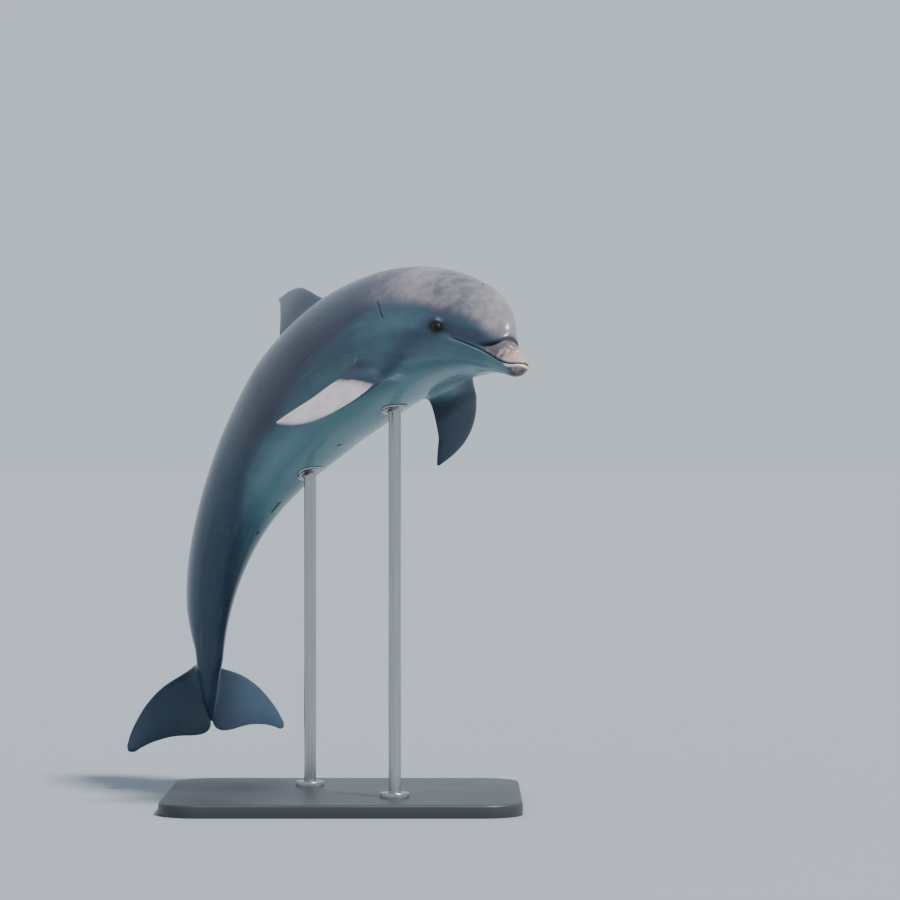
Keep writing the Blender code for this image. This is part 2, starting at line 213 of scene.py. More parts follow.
# %% Body table
LENGTH = 2.5
BODY = (
    (0.000, 0.0000, 0.0000, 0.0000, -0.0045, 0.0, 0.0),  # tip of the beak
    (0.003, 0.0068, 0.0075, 0.0062, -0.0045, 0.0, 0.0),
    (0.008, 0.0100, 0.0115, 0.0096, -0.0045, 0.0, 0.0),
    (0.020, 0.0142, 0.0150, 0.0138, -0.0040, 0.0, 0.0),
    (0.032, 0.0180, 0.0162, 0.0166, -0.0031, -0.10, 0.0),
    (0.042, 0.0220, 0.0168, 0.0186, -0.0028, -0.12, 0.0),
    (0.047, 0.0250, 0.0172, 0.0196, -0.0026, 0.0, 0.0),  # top of the beak, where the melon starts
    (0.053, 0.0322, 0.0178, 0.0204, -0.0023, 0.3, 0.0),
    (0.060, 0.0408, 0.0190, 0.0220, -0.0020, 0.35, 0.0),
    (0.080, 0.0548, 0.0228, 0.0314, -0.0010, 0.2, 0.0),  # melon
    (0.100, 0.0642, 0.0280, 0.0412, 0.0, 0.1, 0.0),  # corner of the mouth
    (0.135, 0.0726, 0.0380, 0.0512, 0.0, 0.0, 0.0),  # eye and blowhole
    (0.200, 0.0820, 0.0565, 0.0655, 0.0, 0.0, 0.0),  # neck
    (0.300, 0.0930, 0.0745, 0.0775, 0.0, 0.0, 0.0),  # behind the flippers
    (0.400, 0.0970, 0.0820, 0.0800, 0.0, 0.0, 0.0),  # widest
    (0.500, 0.0938, 0.0770, 0.0740, 0.0, 0.0, 0.0),
    (0.600, 0.0825, 0.0635, 0.0585, 0.0, 0.10, 0.05),
    (0.700, 0.0682, 0.0487, 0.0420, 0.0, 0.35, 0.20),  # vent
    (0.800, 0.0590, 0.0384, 0.0280, 0.0, 0.85, 0.45),
    (0.845, 0.0500, 0.0345, 0.0226, 0.0, 0.95, 0.55),  # tail stock, deep and thin
    (0.875, 0.0350, 0.0318, 0.0196, 0.0, 0.90, 0.60),
    (0.900, 0.0190, 0.0305, 0.0160, 0.0, 0.60, 0.60),
    (0.925, 0.0155, 0.0235, 0.0144, 0.0, 0.50, 0.50),  # root of the flukes
    (0.960, 0.0125, 0.0135, 0.0110, 0.0, 0.30, 0.30),
    (0.975, 0.0076, 0.0076, 0.0050, 0.0, 0.10, 0.10),
    (0.984, 0.0046, 0.0046, 0.0026, 0.0, 0.0, 0.0),
    (0.988, 0.0000, 0.0000, 0.0000, 0.0, 0.0, 0.0),
)
TAIL_END = 0.988  # the bottom of the notch between the flukes, whose lobes reach to 1
LAST_STATION = TAIL_END - 0.004  # the body is too thin to be measured past this

# The pose: where the animal heads at the hub, and then station, arch, side bend and twist, in degrees for
# each tenth of the length.
HUB = 0.45
HUB_AT = Vector((-0.045, 0.080, 1.303))
HEADING, CLIMB, ROLL = -53.5, 26.2, 4.7
BEND = (
    (0.00, 0.0, 0.0, 0.0),
    (0.13, 0.0, 0.0, 0.0),
    (0.20, 20.0, 2.4, 5.9),
    (0.30, 10.5, -1.7, 2.6),
    (0.42, 10.5, 0.4, 3.2),
    (0.56, 11.5, 3.3, 3.2),
    (0.72, 15.5, -0.7, 1.4),
    (0.88, 11.3, -4.6, -1.6),
    (1.00, 5.6, -4.2, -2.1),
)


def smooth(table, column, where):
    """A curve through one column of a table that never overshoots its rows."""
    xs = np.array([row[0] for row in table])
    ys = np.array([row[column] for row in table])
    step = np.diff(xs)
    rise = np.diff(ys) / step
    slope = np.concatenate([rise[:1], np.zeros(len(xs) - 2), rise[-1:]])
    for i in range(1, len(xs) - 1):
        if rise[i - 1] * rise[i] > 0:
            before = 2 * step[i] + step[i - 1]
            after = step[i] + 2 * step[i - 1]
            slope[i] = (before + after) / (before / rise[i - 1] + after / rise[i])
    where = np.clip(where, xs[0], xs[-1])
    i = np.clip(np.searchsorted(xs, where, side="right") - 1, 0, len(xs) - 2)
    t = (where - xs[i]) / step[i]
    start = ys[i] * (1 + 2 * t) * (1 - t) ** 2 + slope[i] * step[i] * t * (1 - t) ** 2
    end = ys[i + 1] * t * t * (3 - 2 * t) + slope[i + 1] * step[i] * t * t * (t - 1)
    return start + end


print("widest:", round(2 * LENGTH * float(smooth(BODY, 3, 0.4)), 3), "m")

# %% [markdown]
# A bent animal needs a bent ruler. The axis is walked from the hub both ways in 400 small steps, turning
# a little at each, and it keeps a frame of three directions (forward, left, up) at every step. Any point
# of the body is then a station and two offsets. All of this works on whole arrays of points at once,
# because the skin has tens of thousands of them.

# %% Bent axis
STEPS = 400


def turned(directions, angles):
    """The frame (columns forward, left, up) after a small turn about its own axes, in radians."""
    size = Vector(angles).length
    if size == 0:
        return directions.copy()
    return directions @ Matrix.Rotation(size, 3, Vector(angles) / size)


def bent_axis():
    climb, heading = math.radians(CLIMB), math.radians(HEADING)
    forward = Vector(
        (math.cos(climb) * math.cos(heading), math.cos(climb) * math.sin(heading), math.sin(climb))
    )
    left = Vector((0, 0, 1)).cross(forward).normalized()
    hub = Matrix((forward, left, forward.cross(left))).transposed()
    hub = hub @ Matrix.Rotation(math.radians(-ROLL), 3, "X")
    middle = round(HUB * STEPS)
    points, frames = {middle: HUB_AT.copy()}, {middle: hub}
    for toward, last in ((1, STEPS), (-1, 0)):
        i = middle
        while i != last:
            bends = [smooth(BEND, column, (i + toward / 2) / STEPS) for column in (1, 2, 3)]
            arch, bow, twist = (toward * math.radians(10 * bend / STEPS) for bend in bends)
            halfway = turned(frames[i], (twist / 2, -arch / 2, bow / 2))
            points[i + toward] = points[i] - toward * halfway.col[0] * LENGTH / STEPS
            frames[i + toward] = turned(frames[i], (twist, -arch, bow))
            i += toward
    everywhere = range(STEPS + 1)
    return np.array([points[i] for i in everywhere]), np.array([frames[i] for i in everywhere])


AXIS_POINTS, AXIS_FRAMES = bent_axis()


def unit(vectors):
    return vectors / np.maximum(np.linalg.norm(vectors, axis=-1, keepdims=True), 1e-12)


def frames_at(stations):
    """The points on the axis and the directions forward, left and up there, one row for each station."""
    stations = np.atleast_1d(np.asarray(stations, float))
    inside = np.clip(stations, 0.0, 1.0)
    i = np.minimum((inside * STEPS).astype(int), STEPS - 1)
    t = (inside * STEPS - i)[:, None]
    point = AXIS_POINTS[i] * (1 - t) + AXIS_POINTS[i + 1] * t
    forward = unit(AXIS_FRAMES[i, :, 0] * (1 - t) + AXIS_FRAMES[i + 1, :, 0] * t)
    left = AXIS_FRAMES[i, :, 1] * (1 - t) + AXIS_FRAMES[i + 1, :, 1] * t
    left = unit(left - forward * (left * forward).sum(1, keepdims=True))
    point = point - forward * (stations - inside)[:, None] * LENGTH
    return point, forward, left, np.cross(forward, left)


def skin_offsets(stations, around):
    """Side and rise of the skin, as shares. around is 0 at the left flank, a quarter turn at the back."""
    across, along = np.cos(around), np.sin(around)
    above = along > 0
    height = np.where(above, smooth(BODY, 1, stations), smooth(BODY, 2, stations))
    keel = np.where(above, smooth(BODY, 5, stations), smooth(BODY, 6, stations))
    side = smooth(BODY, 3, stations) * across * np.abs(across) ** keel
    return side, smooth(BODY, 4, stations) + height * along


def skin_points(stations, around):
    stations, around = np.atleast_1d(stations), np.atleast_1d(around)
    side, rise = skin_offsets(stations, around)
    point, _, left, up = frames_at(stations)
    return point + LENGTH * (left * side[:, None] + up * rise[:, None])


def skin_normals(stations, around):
    """The outward direction of the skin, from two short steps along it and two round it."""
    step = 0.0008
    stations = np.clip(stations, 2 * step, TAIL_END - 2 * step)
    back = skin_points(stations + step, around) - skin_points(stations - step, around)
    turn = skin_points(stations, around + 0.01) - skin_points(stations, around - 0.01)
    return unit(np.cross(back, turn))


beak_tip, tail_end = skin_points([0.0, TAIL_END], [0.0, 0.0])
print("beak tip", beak_tip.round(3), "tail end", tail_end.round(3))

# %% [markdown]
# ## A ball drawn out into a body
#
# The skin starts as a ball: its rings become the rings of the body, its two poles the tip of the beak
# and the end of the tail. Rings lie close together where there is fine form, as on the beak, and far
# apart on the smooth trunk. One ball drawn out this way has no seam anywhere, which is why it was
# chosen over a tube with caps.

# %% Rings and meridians
AROUND = 128
FINE_STEPS = 4000
SPACING = (  # station, and the distance from ring to ring in metres
    (0.000, 0.0016),
    (0.050, 0.0027),
    (0.110, 0.0036),
    (0.165, 0.0050),
    (0.210, 0.0085),
    (0.550, 0.0100),
    (0.860, 0.0110),
    (0.910, 0.0065),
    (1.000, 0.0050),
)

fine = np.linspace(0.0, TAIL_END, FINE_STEPS + 1)
gaps = smooth(SPACING, 1, (fine[1:] + fine[:-1]) / 2)
crowd = np.concatenate([[0.0], np.cumsum(LENGTH * TAIL_END / FINE_STEPS / gaps)])
RINGS = round(crowd[-1])
ring_station = np.interp(np.arange(RINGS + 1) / RINGS * crowd[-1], crowd, fine)

# One station and one angle for each crossing of a ring and a meridian, counted from the belly.
STATION = np.repeat(ring_station[:, None], AROUND, axis=1)
ANGLE = np.repeat((np.arange(AROUND)[None, :] / AROUND * 2 - 0.5) * math.pi, RINGS + 1, axis=0)
print(RINGS, "rings of", AROUND)

# %% [markdown]
# Two meridians, one on each side, are led along the mouth, and their neighbours crowd towards them.
# The lips then have rows of faces that follow them, and the crease between them comes out sharp.

# %% Meridians along the mouth
MOUTH = (  # station and rise of the line between the lips
    (0.000, -0.0008),
    (0.004, -0.0022),
    (0.010, -0.0044),
    (0.018, -0.0059),
    (0.028, -0.0058),
    (0.048, -0.0032),
    (0.072, -0.0003),
    (0.103, 0.0015),
)
MOUTH_CROWDING, CROWDED, LED = 0.62, 0.55, 0.7  # how strongly, and how far round in radians
MOUTH_FADES = (0.128, 0.098)


def step_up(low, high, value):
    """0 below low, 1 above high, smooth between. It also runs down if low is the larger."""
    t = np.clip((value - low) / (high - low), 0.0, 1.0)
    return t * t * (3 - 2 * t)


def bell(value, width):
    return np.exp(-((value / width) ** 2))


lip_rise = smooth(MOUTH, 1, ring_station) - smooth(BODY, 4, ring_station)
lip_height = np.where(lip_rise > 0, smooth(BODY, 1, ring_station), smooth(BODY, 2, ring_station))
lip_angle = np.arcsin(np.clip(lip_rise / np.maximum(lip_height, 1e-6), -0.3, 0.3))
near_mouth = step_up(*MOUTH_FADES, ring_station)[:, None]
for middle, way in ((0.0, 1), (math.pi, -1)):
    off = ANGLE - middle
    drawn = off - MOUTH_CROWDING * near_mouth * np.sin(off) * bell(off, CROWDED)
    led = way * lip_angle[:, None] * near_mouth * bell(off, LED)
    mine = np.abs(off) < math.pi / 2 + 0.01
    ANGLE = np.where(mine, middle + drawn + led, ANGLE)
print("mouth angle at the beak:", round(math.degrees(lip_angle[20]), 1), "degrees")

# %% [markdown]
# ## The fins as shapes
#
# A fin is a row of sections from root to tip. Each section is a foil: blunt in front, thickest a third
# of the way back, thin behind. The outline tables give, for shares of the reach, the front edge, the
# back edge and the thickness in metres, and a place function says where the middle line runs and which
# way the section faces.

# %% Fin tables
FIN_EDGE = 0.0012  # half the thickness that a fin keeps near its back edge
FOIL = 1.3  # times the root of c, times 1 - c, is half the thickness, which is fullest at c = 1/3
DORSAL_AT, DORSAL_HEIGHT, DORSAL_LEAN, DORSAL_CURL = 0.483, 0.240, 5.5, -0.055
DORSAL = (
    (-0.25, 0.235, -0.160, 0.044),
    (0.00, 0.200, -0.135, 0.038),
    (0.25, 0.132, -0.120, 0.027),
    (0.50, 0.072, -0.117, 0.020),
    (0.75, 0.003, -0.130, 0.014),
    (0.92, -0.072, -0.149, 0.009),
    (1.00, -0.140, -0.165, 0.005),
)
FLIPPER_AT, FLIPPER_AROUND, FLIPPER_REACH, FLIPPER_TURNED = 0.245, -44.0, 0.340, 0.45
FLIPPER = (
    (-0.25, 0.076, -0.088, 0.046),
    (0.00, 0.068, -0.076, 0.034),
    (0.20, 0.070, -0.072, 0.026),
    (0.40, 0.065, -0.069, 0.021),
    (0.60, 0.048, -0.069, 0.016),
    (0.80, 0.013, -0.080, 0.011),
    (0.93, -0.033, -0.088, 0.007),
    (1.00, -0.078, -0.091, 0.005),
)
FLIPPERS = {  # side, sweep back, droop, feather at the root and of the blade, curl
    "flipper_left": (1, 35.5, 39.0, -40.0, -56.0, -0.003),
    "flipper_right": (-1, 20.0, 44.0, 22.0, 23.0, 0.031),
}
FLUKE_SPAN, FLUKE_CURL = 0.304, 0.042
FLUKE_TILT = (-1.9, 3.4, -8.2)
FLUKE = (
    (0.00, 0.234, 0.036, 0.046),
    (0.02, 0.231, 0.006, 0.044),
    (0.05, 0.224, -0.014, 0.041),
    (0.15, 0.204, -0.018, 0.031),
    (0.30, 0.188, -0.008, 0.024),
    (0.50, 0.163, -0.003, 0.018),
    (0.70, 0.121, -0.009, 0.013),
    (0.86, 0.068, -0.022, 0.009),
    (0.95, 0.028, -0.032, 0.007),
    (1.00, -0.004, -0.028, 0.006),
)


def dorsal_place(share):
    _, (forward,), (left,), (up,) = frames_at(DORSAL_AT)
    (base,) = skin_points(DORSAL_AT, math.pi / 2)
    out = up * math.cos(math.radians(DORSAL_LEAN)) + left * math.sin(math.radians(DORSAL_LEAN))
    across = np.cross(forward, out)
    middle = base + np.outer(share, out) * DORSAL_HEIGHT
    middle = middle + np.outer(share * np.abs(share), across) * DORSAL_CURL
    return middle, forward[None], across[None]


def flipper_place(side, sweep, droop, root_feather, feather, curl):
    sweep, droop = math.radians(sweep), math.radians(droop)
    around = math.radians(FLIPPER_AROUND)
    (base,) = skin_points(FLIPPER_AT, around if side > 0 else math.pi - around)
    _, (forward,), (left,), (up,) = frames_at(FLIPPER_AT)
    down = left * side * math.cos(droop) - up * math.sin(droop)
    out = down * math.cos(sweep) - forward * math.sin(sweep)
    chord = unit(forward - out * forward.dot(out))
    normal = np.cross(out, chord) * side

    def place(share):
        turn = step_up(0.0, FLIPPER_TURNED, share)
        turn = np.radians(root_feather + (feather - root_feather) * turn)[:, None]
        ahead = chord * np.cos(turn) + normal * np.sin(turn)
        across = np.cross(out, ahead) * side
        middle = base + np.outer(share, out) * FLIPPER_REACH
        return middle + across * (curl * share * np.abs(share))[:, None], ahead, across

    return place


def fluke_place(side):
    (point,), (forward,), (left,), (up,) = frames_at(1.0)
    turn = np.array(
        Matrix.Rotation(math.radians(FLUKE_TILT[0]), 3, Vector(forward))
        @ Matrix.Rotation(math.radians(FLUKE_TILT[1]), 3, Vector(up))
        @ Matrix.Rotation(math.radians(FLUKE_TILT[2]), 3, Vector(left))
    )
    forward, left, up = turn @ forward, turn @ left, turn @ up

    def place(share):
        middle = point + np.outer(share, left) * side * FLUKE_SPAN + np.outer(share**2, up) * FLUKE_CURL
        return middle, forward[None], up[None]

    return place


def fin_points(fin, share, ahead, aside):
    """Points of a fin. share runs from the root (0) to the tip (1). ahead and aside are places in a round
    plate of radius 1 that stands for the section: (1, 0) is the front edge and (-1, 0) the back edge."""
    share, ahead, aside = np.broadcast_arrays(np.atleast_1d(share), ahead, aside)
    middle, forward, across = fin["place"](share)
    front, back, thick = (smooth(fin["outline"], column, share) for column in (1, 2, 3))
    chord = (1 - ahead) / 2
    room = np.sqrt(np.maximum(1 - ahead**2, 1e-9))
    half = thick * FOIL * np.sqrt(chord) * (1 - chord) + FIN_EDGE * room
    along = front + (back - front) * chord
    return middle + forward * along[:, None] + across * (half * aside / room)[:, None]


FINS = {
    "dorsal_fin": {"outline": DORSAL, "place": dorsal_place, "reach": DORSAL_HEIGHT},
    "fluke_left": {"outline": FLUKE, "place": fluke_place(1), "reach": FLUKE_SPAN},
    "fluke_right": {"outline": FLUKE, "place": fluke_place(-1), "reach": FLUKE_SPAN},
}
for name, pose in FLIPPERS.items():
    FINS[name] = {"outline": FLIPPER, "place": flipper_place(*pose), "reach": FLIPPER_REACH}
for name, fin in FINS.items():
    print(name, "tip at", fin_points(fin, 1.0, 0.0, 0.0)[0].round(2).tolist())

# %% [markdown]
# ## Where a fin leaves the body
#
# To grow a fin out of the skin without a seam we need the line along which the two shapes meet. Any
# point can be read back as body coordinates: its station, its angle, and how far out it lies, where 1 is
# the skin. Each strip of the fin is followed from inside the body outwards until it passes 1.

# %% Body coordinates of a point
COARSE = 4  # every fourth step of the axis gives a first guess
CORRECTIONS = 4


def body_coordinates(points):
    near = np.linalg.norm(points[:, None, :] - AXIS_POINTS[None, ::COARSE, :], axis=2).argmin(1)
    station = near * COARSE / STEPS
    for _ in range(CORRECTIONS):
        at, forward, left, up = frames_at(station)
        station = station - ((points - at) * forward).sum(1) / LENGTH
    at, forward, left, up = frames_at(station)
    inside = np.minimum(station, LAST_STATION)
    side = ((points - at) * left).sum(1) / LENGTH
    rise = ((points - at) * up).sum(1) / LENGTH - smooth(BODY, 4, inside)
    above = rise > 0
    height = np.where(above, smooth(BODY, 1, inside), smooth(BODY, 2, inside))
    keel = np.where(above, smooth(BODY, 5, inside), smooth(BODY, 6, inside))
    across = (np.abs(side) / np.maximum(smooth(BODY, 3, inside), 1e-9)) ** (1 / (1 + keel))
    along = rise / np.maximum(height, 1e-9)
    angle = np.arctan2(along, np.copysign(across, side))
    return station, np.where(angle < -math.pi / 2, angle + 2 * math.pi, angle), np.hypot(across, along)


def meeting_line(fin, ahead, aside, shares):
    """Station, angle and share of the reach at which the strips of the fin through these plate places
    leave the body."""
    found = []
    for a, b in zip(ahead, aside):
        station, angle, out = body_coordinates(fin_points(fin, shares, a, b))
        last = np.nonzero(out < 1)[0].max(initial=0)
        after = min(last + 1, len(shares) - 1)
        t = np.clip((1 - out[last]) / max(out[after] - out[last], 1e-9), 0, 1)
        row = [values[last] + (values[after] - values[last]) * t for values in (station, angle, shares)]
        found.append(row)
    return np.array(found)


there_and_back = body_coordinates(skin_points([0.05, 0.5], [0.3, 2.0]))
print("0.05, 0.3 and 0.5, 2.0 again:", [c.round(3).tolist() for c in there_and_back])

# %% [markdown]
# ## Where the eyes sit
#
# The eyes lie low on the sides of the head, just above and behind the corners of the mouth. Each gets a
# flat drawing board of its own, with directions forward, up and out, so that lids and ball can be drawn
# in millimetres round the middle of the eye and fit both sides of the head.

# %% Eye places
EYE_AT, EYE_RISE = 0.1328, math.asin(0.11)
EYE_RADIUS, EYE_PROUD = 0.0158, 0.0076
EYE_ROOM = 0.036  # radius of the patch of skin that the lids are made from

eye_middle = {
    "eye_left": skin_points(EYE_AT, EYE_RISE)[0],
    "eye_right": skin_points(EYE_AT, math.pi - EYE_RISE)[0],
}


def eye_frame(name):
    """The middle of the opening on the skin, and the directions forward, up and out there."""
    middle = eye_middle[name]
    at, forward, _, up = (row[0] for row in frames_at(EYE_AT))
    out = unit(middle - at)
    ahead = unit(forward - out * forward.dot(out))
    above = np.cross(out, ahead)
    return middle, ahead, above if above.dot(up) > 0 else -above, out


def eye_ring(name, count=96):
    """A circle on the skin round an eye, as directions, stations and angles."""
    middle, ahead, above, _ = eye_frame(name)
    turn = np.arange(count) * 2 * math.pi / count
    circle = middle + EYE_ROOM * (np.outer(np.cos(turn), ahead) + np.outer(np.sin(turn), above))
    station, angle, _ = body_coordinates(circle)
    return turn, station, angle


print("eyes at", {name: at.round(3).tolist() for name, at in eye_middle.items()})

# %% [markdown]
# ## Making room for fins and eyes
#
# Round each fin's root a patch of the body's faces is picked out. Its square outline is led into a
# rounded one that lies a little outside the meeting line, and the rings and meridians around it give
# way evenly. The room between the two lines is for the fillet, where the fin flows into the body. The
# eyes get round patches in the same way.

# %% Patches for the fins
PATCHES = {  # width of the fillet at the front edge and at the back edge, and how far the bending reaches
    "dorsal_fin": (0.040, 0.030, 1.9),
    "flipper_left": (0.030, 0.028, 1.9),
    "flipper_right": (0.030, 0.028, 1.9),
    "fluke_left": (0.016, 0.004, 1.5),
    "fluke_right": (0.016, 0.004, 1.5),
}
BURIED = np.linspace(-0.25, -0.05, 5)
MARCH = np.linspace(0.0, 0.45, 60)
WIDEST_ROOT = math.radians(46)
ROUNDINGS = 8
PATCH_SHRUNK = 0.9
EYE_BEND_REACH = 1.45


def plate(row, column):
    """Carries a square of side 2 onto a round plate of radius 1."""
    return row * np.sqrt(1 - column**2 / 2), column * np.sqrt(1 - row**2 / 2)


def root_line(fin, flare, count=96):
    """The rounded line of the patch, as functions of the direction on the plate."""
    turn = np.arange(count) * 2 * math.pi / count
    shares = np.concatenate([BURIED, MARCH]) if fin["outline"][0][0] < 0 else MARCH
    station, angle, leaves = meeting_line(fin, np.cos(turn), np.sin(turn), shares).T
    # Metres for each radian round the body turn the line into a plan with equal scales.
    small = 0.01
    step = skin_points(station, angle + small) - skin_points(station, angle - small)
    middle_width = (np.linalg.norm(step, axis=1) / (2 * small)).mean()
    x, y = station * LENGTH, angle * middle_width
    dx, dy = np.roll(x, -1) - np.roll(x, 1), np.roll(y, -1) - np.roll(y, 1)
    length = np.maximum(np.hypot(dx, dy), 1e-9)
    out_x, out_y = dy / length, -dx / length
    if (out_x * (x - x.mean()) + out_y * (y - y.mean())).sum() < 0:
        out_x, out_y = -out_x, -out_y
    wide = flare[1] + (flare[0] - flare[1]) * (np.cos(turn) + 1) / 2
    round_station, round_angle = station + out_x * wide / LENGTH, angle + out_y * wide / middle_width
    # A pointed end is rounded, or the faces behind it would fold over each other.
    for _ in range(ROUNDINGS):
        round_station = (np.roll(round_station, 1) + 2 * round_station + np.roll(round_station, -1)) / 4
        round_angle = (np.roll(round_angle, 1) + 2 * round_angle + np.roll(round_angle, -1)) / 4
    middle = (angle.min() + angle.max()) / 2
    round_angle = middle + np.clip(round_angle - middle, -WIDEST_ROOT, WIDEST_ROOT)
    return turn, np.minimum(round_station, LAST_STATION), round_angle, station, angle, leaves


def looked_up(turn, values, at):
    return np.interp(np.mod(at, 2 * math.pi), np.append(turn, 2 * math.pi), np.append(values, values[0]))


rows_and_columns = np.indices(STATION.shape)


def make_room(turn, station, angle, bend_reach):
    """Bends rings and meridians so that a square patch of faces gets the given rounded outline. It gives
    back the patch, and whether the plate's second direction runs with the angle or against it."""
    global STATION, ANGLE
    sense = 1 if looked_up(turn, angle, math.pi / 2) > looked_up(turn, angle, -math.pi / 2) else -1
    middle_station, middle_angle = (station.min() + station.max()) / 2, (angle.min() + angle.max()) / 2
    rows = [middle_station + way * PATCH_SHRUNK * (station.max() - station.min()) / 2 for way in (-1, 1)]
    i0, i1 = (int(np.abs(ring_station - row).argmin()) for row in rows)
    mid_ring = (i0 + i1) // 2
    columns = [middle_angle + way * PATCH_SHRUNK * (angle.max() - angle.min()) / 2 for way in (-1, 1)]
    j0, j1 = (int(np.abs(ANGLE[mid_ring] - column).argmin()) for column in columns)
    row = (2 * rows_and_columns[0] - i0 - i1) / (i1 - i0)
    column = (2 * rows_and_columns[1] - j0 - j1) / (j1 - j0)
    out = np.maximum(np.maximum(np.abs(row), np.abs(column)), 1e-6)
    edge_u, edge_v = plate(row / out, column / out)
    at = np.arctan2(edge_v * sense, -edge_u)
    round_station = middle_station + out * (looked_up(turn, station, at) - middle_station)
    round_angle = middle_angle + out * (looked_up(turn, angle, at) - middle_angle)
    share = np.where(out <= bend_reach, step_up(bend_reach, 1.0, np.maximum(out, 1.0)), 0.0)
    STATION = STATION + share * (round_station - STATION)
    ANGLE = ANGLE + share * (round_angle - ANGLE)
    return (i0, i1, j0, j1), sense


for name, (front_flare, back_flare, bend_reach) in PATCHES.items():
    line = root_line(FINS[name], (front_flare, back_flare))
    turn, station, angle, meet_station, meet_angle, leaves = line
    patch, sense = make_room(turn, station, angle, bend_reach)
    FINS[name].update(patch=patch, sense=sense, meeting=(turn, meet_station, meet_angle, leaves))
    print(name, "patch", patch, "root", round((station.max() - station.min()) * LENGTH, 3), "m")

EYES = {}
for name in eye_middle:
    patch, sense = make_room(*eye_ring(name), EYE_BEND_REACH)
    EYES[name] = {"patch": patch, "sense": sense}
    print(name, "patch", patch)

# %% [markdown]
# ## The ball itself
#
# `create_uvsphere` gives the faces. Each corner remembers its ring and meridian, and its station and
# angle on the body, as layers of the mesh. Whatever is done to the mesh later, new corners get sensible
# values from their neighbours, and the body's shape can be worked out again from them.

# %% Draw the ball out
skin = bmesh.new()
bmesh.ops.create_uvsphere(skin, u_segments=AROUND, v_segments=RINGS, radius=1.0)
ring_layer = skin.verts.layers.int.new("ring")
meridian_layer = skin.verts.layers.int.new("meridian")
station_layer = skin.verts.layers.float.new("station")
angle_layer = skin.verts.layers.float.new("angle")
reach_layer = skin.verts.layers.float.new("reach")
fin_layer = skin.verts.layers.int.new("fin")
ahead_layer = skin.verts.layers.float.new("ahead")
aside_layer = skin.verts.layers.float.new("aside")

for v in skin.verts:
    x, y, z = v.co
    ring = round(math.atan2(math.hypot(x, y), z) / math.pi * RINGS)
    meridian = round(math.atan2(y, x) / (2 * math.pi) * AROUND) % AROUND if 0 < ring < RINGS else 0
    v[ring_layer], v[meridian_layer] = ring, meridian
    v[station_layer], v[angle_layer] = STATION[ring, meridian], ANGLE[ring, meridian]

patch_faces = {}
for name, grown in {**FINS, **EYES}.items():
    i0, i1, j0, j1 = grown["patch"]
    patch_faces[name] = [
        f
        for f in skin.faces
        if all(i0 <= v[ring_layer] <= i1 and j0 <= v[meridian_layer] <= j1 for v in f.verts)
    ]
print({name: len(faces) for name, faces in patch_faces.items()})

# %% [markdown]
# ## Finer faces where there is fine form
#
# The eyelids, the blowhole, the crease under the melon and a few folds are only millimetres wide. The
# faces there are split in two again and again until they are small enough, and the rest stays coarse.
# Every such place is a line or a point on the skin, so first a helper turns stations and angles into
# points close together on the skin.

# %% Places of the fine forms
BLOWHOLE_AT, BLOWHOLE_ROOM = 0.1370, 0.07
HEAD_END, CREASE_TOP, FAR_OFF = 0.085, 0.032, 1.0
CREASE = (  # station and rise of the crease where the melon meets the beak
    (0.0430, 0.0600),
    (0.0465, 0.0215),
    (0.0490, 0.0150),
    (0.0560, 0.0088),
    (0.0660, 0.0048),
    (0.0770, 0.0010),
)
FOLDS = {  # station and angle in degrees along each fold of the skin
    "neck_right": ((0.2470, 158), (0.2400, 163), (0.2300, 172), (0.2235, 176)),
    "navel": ((0.4550, -90), (0.4630, -90)),
    "slit": ((0.6300, -90), (0.6620, -90)),
    "vent": ((0.6980, -90), (0.7060, -90)),
}
FOLD_SIZE = {  # width and depth
    "neck_right": (0.0035, 0.0030),
    "navel": (0.0040, 0.0035),
    "slit": (0.0035, 0.0045),
    "vent": (0.0040, 0.0040),
}


def along_skin(places, count=60):
    """Points close together on the skin through the given (station, degrees) places."""
    at = np.linspace(0, len(places) - 1, count)
    station = np.interp(at, range(len(places)), [place[0] for place in places])
    angle = np.interp(at, range(len(places)), [math.radians(place[1]) for place in places])
    return skin_points(station, angle)


def nearest(points, line):
    """How far each point is from a line of points, and where along it, from 0 to 1."""
    far, share = np.full(len(points), 9.0), np.zeros(len(points))
    box = ((points > line.min(0) - 0.06) & (points < line.max(0) + 0.06)).all(1)
    apart = np.linalg.norm(points[box][:, None] - line[None], axis=2)
    far[box] = apart.min(1)
    share[box] = apart.argmin(1) / (len(line) - 1)
    return far, share


def off_crease(stations, rise):
    """Signed distance in metres from the crease under the melon, seen from the side, positive towards
    the melon, and how far down the crease the nearest place is. Behind the head it is far off."""
    t = np.linspace(0, 1, 160)
    line_rise = CREASE_TOP + (CREASE[-1][1] - CREASE_TOP) * t
    line_station = smooth(tuple((-r, s) for s, r in CREASE), 1, -line_rise)
    head = stations < HEAD_END
    dx = (stations[head, None] - line_station) * LENGTH
    dy = (rise[head, None] - line_rise) * LENGTH
    apart = np.hypot(dx, dy)
    i = apart.argmin(1)
    run = np.gradient(line_station), np.gradient(line_rise)
    pick = np.arange(len(i))
    side = dx[pick, i] * run[1][i] - dy[pick, i] * run[0][i]
    crease, down = np.full(len(stations), FAR_OFF), np.zeros(len(stations))
    crease[head] = np.copysign(apart.min(1), -side)
    down[head] = t[i]
    return crease, down


def off_blowhole(points, full):
    """Distance ahead of the blowhole's crescent slit, and 1 near it, fading from full to its ends."""
    (ahead,), (left,) = frames_at(BLOWHOLE_AT)[1:3]
    x = (points - blowhole_middle) @ ahead
    y = (points - blowhole_middle) @ left
    near = np.linalg.norm(points - blowhole_middle, axis=1) < BLOWHOLE_ROOM
    return x - 0.011 * (y / 0.020) ** 2 + 0.006, step_up(0.024, full, np.abs(y)) * near


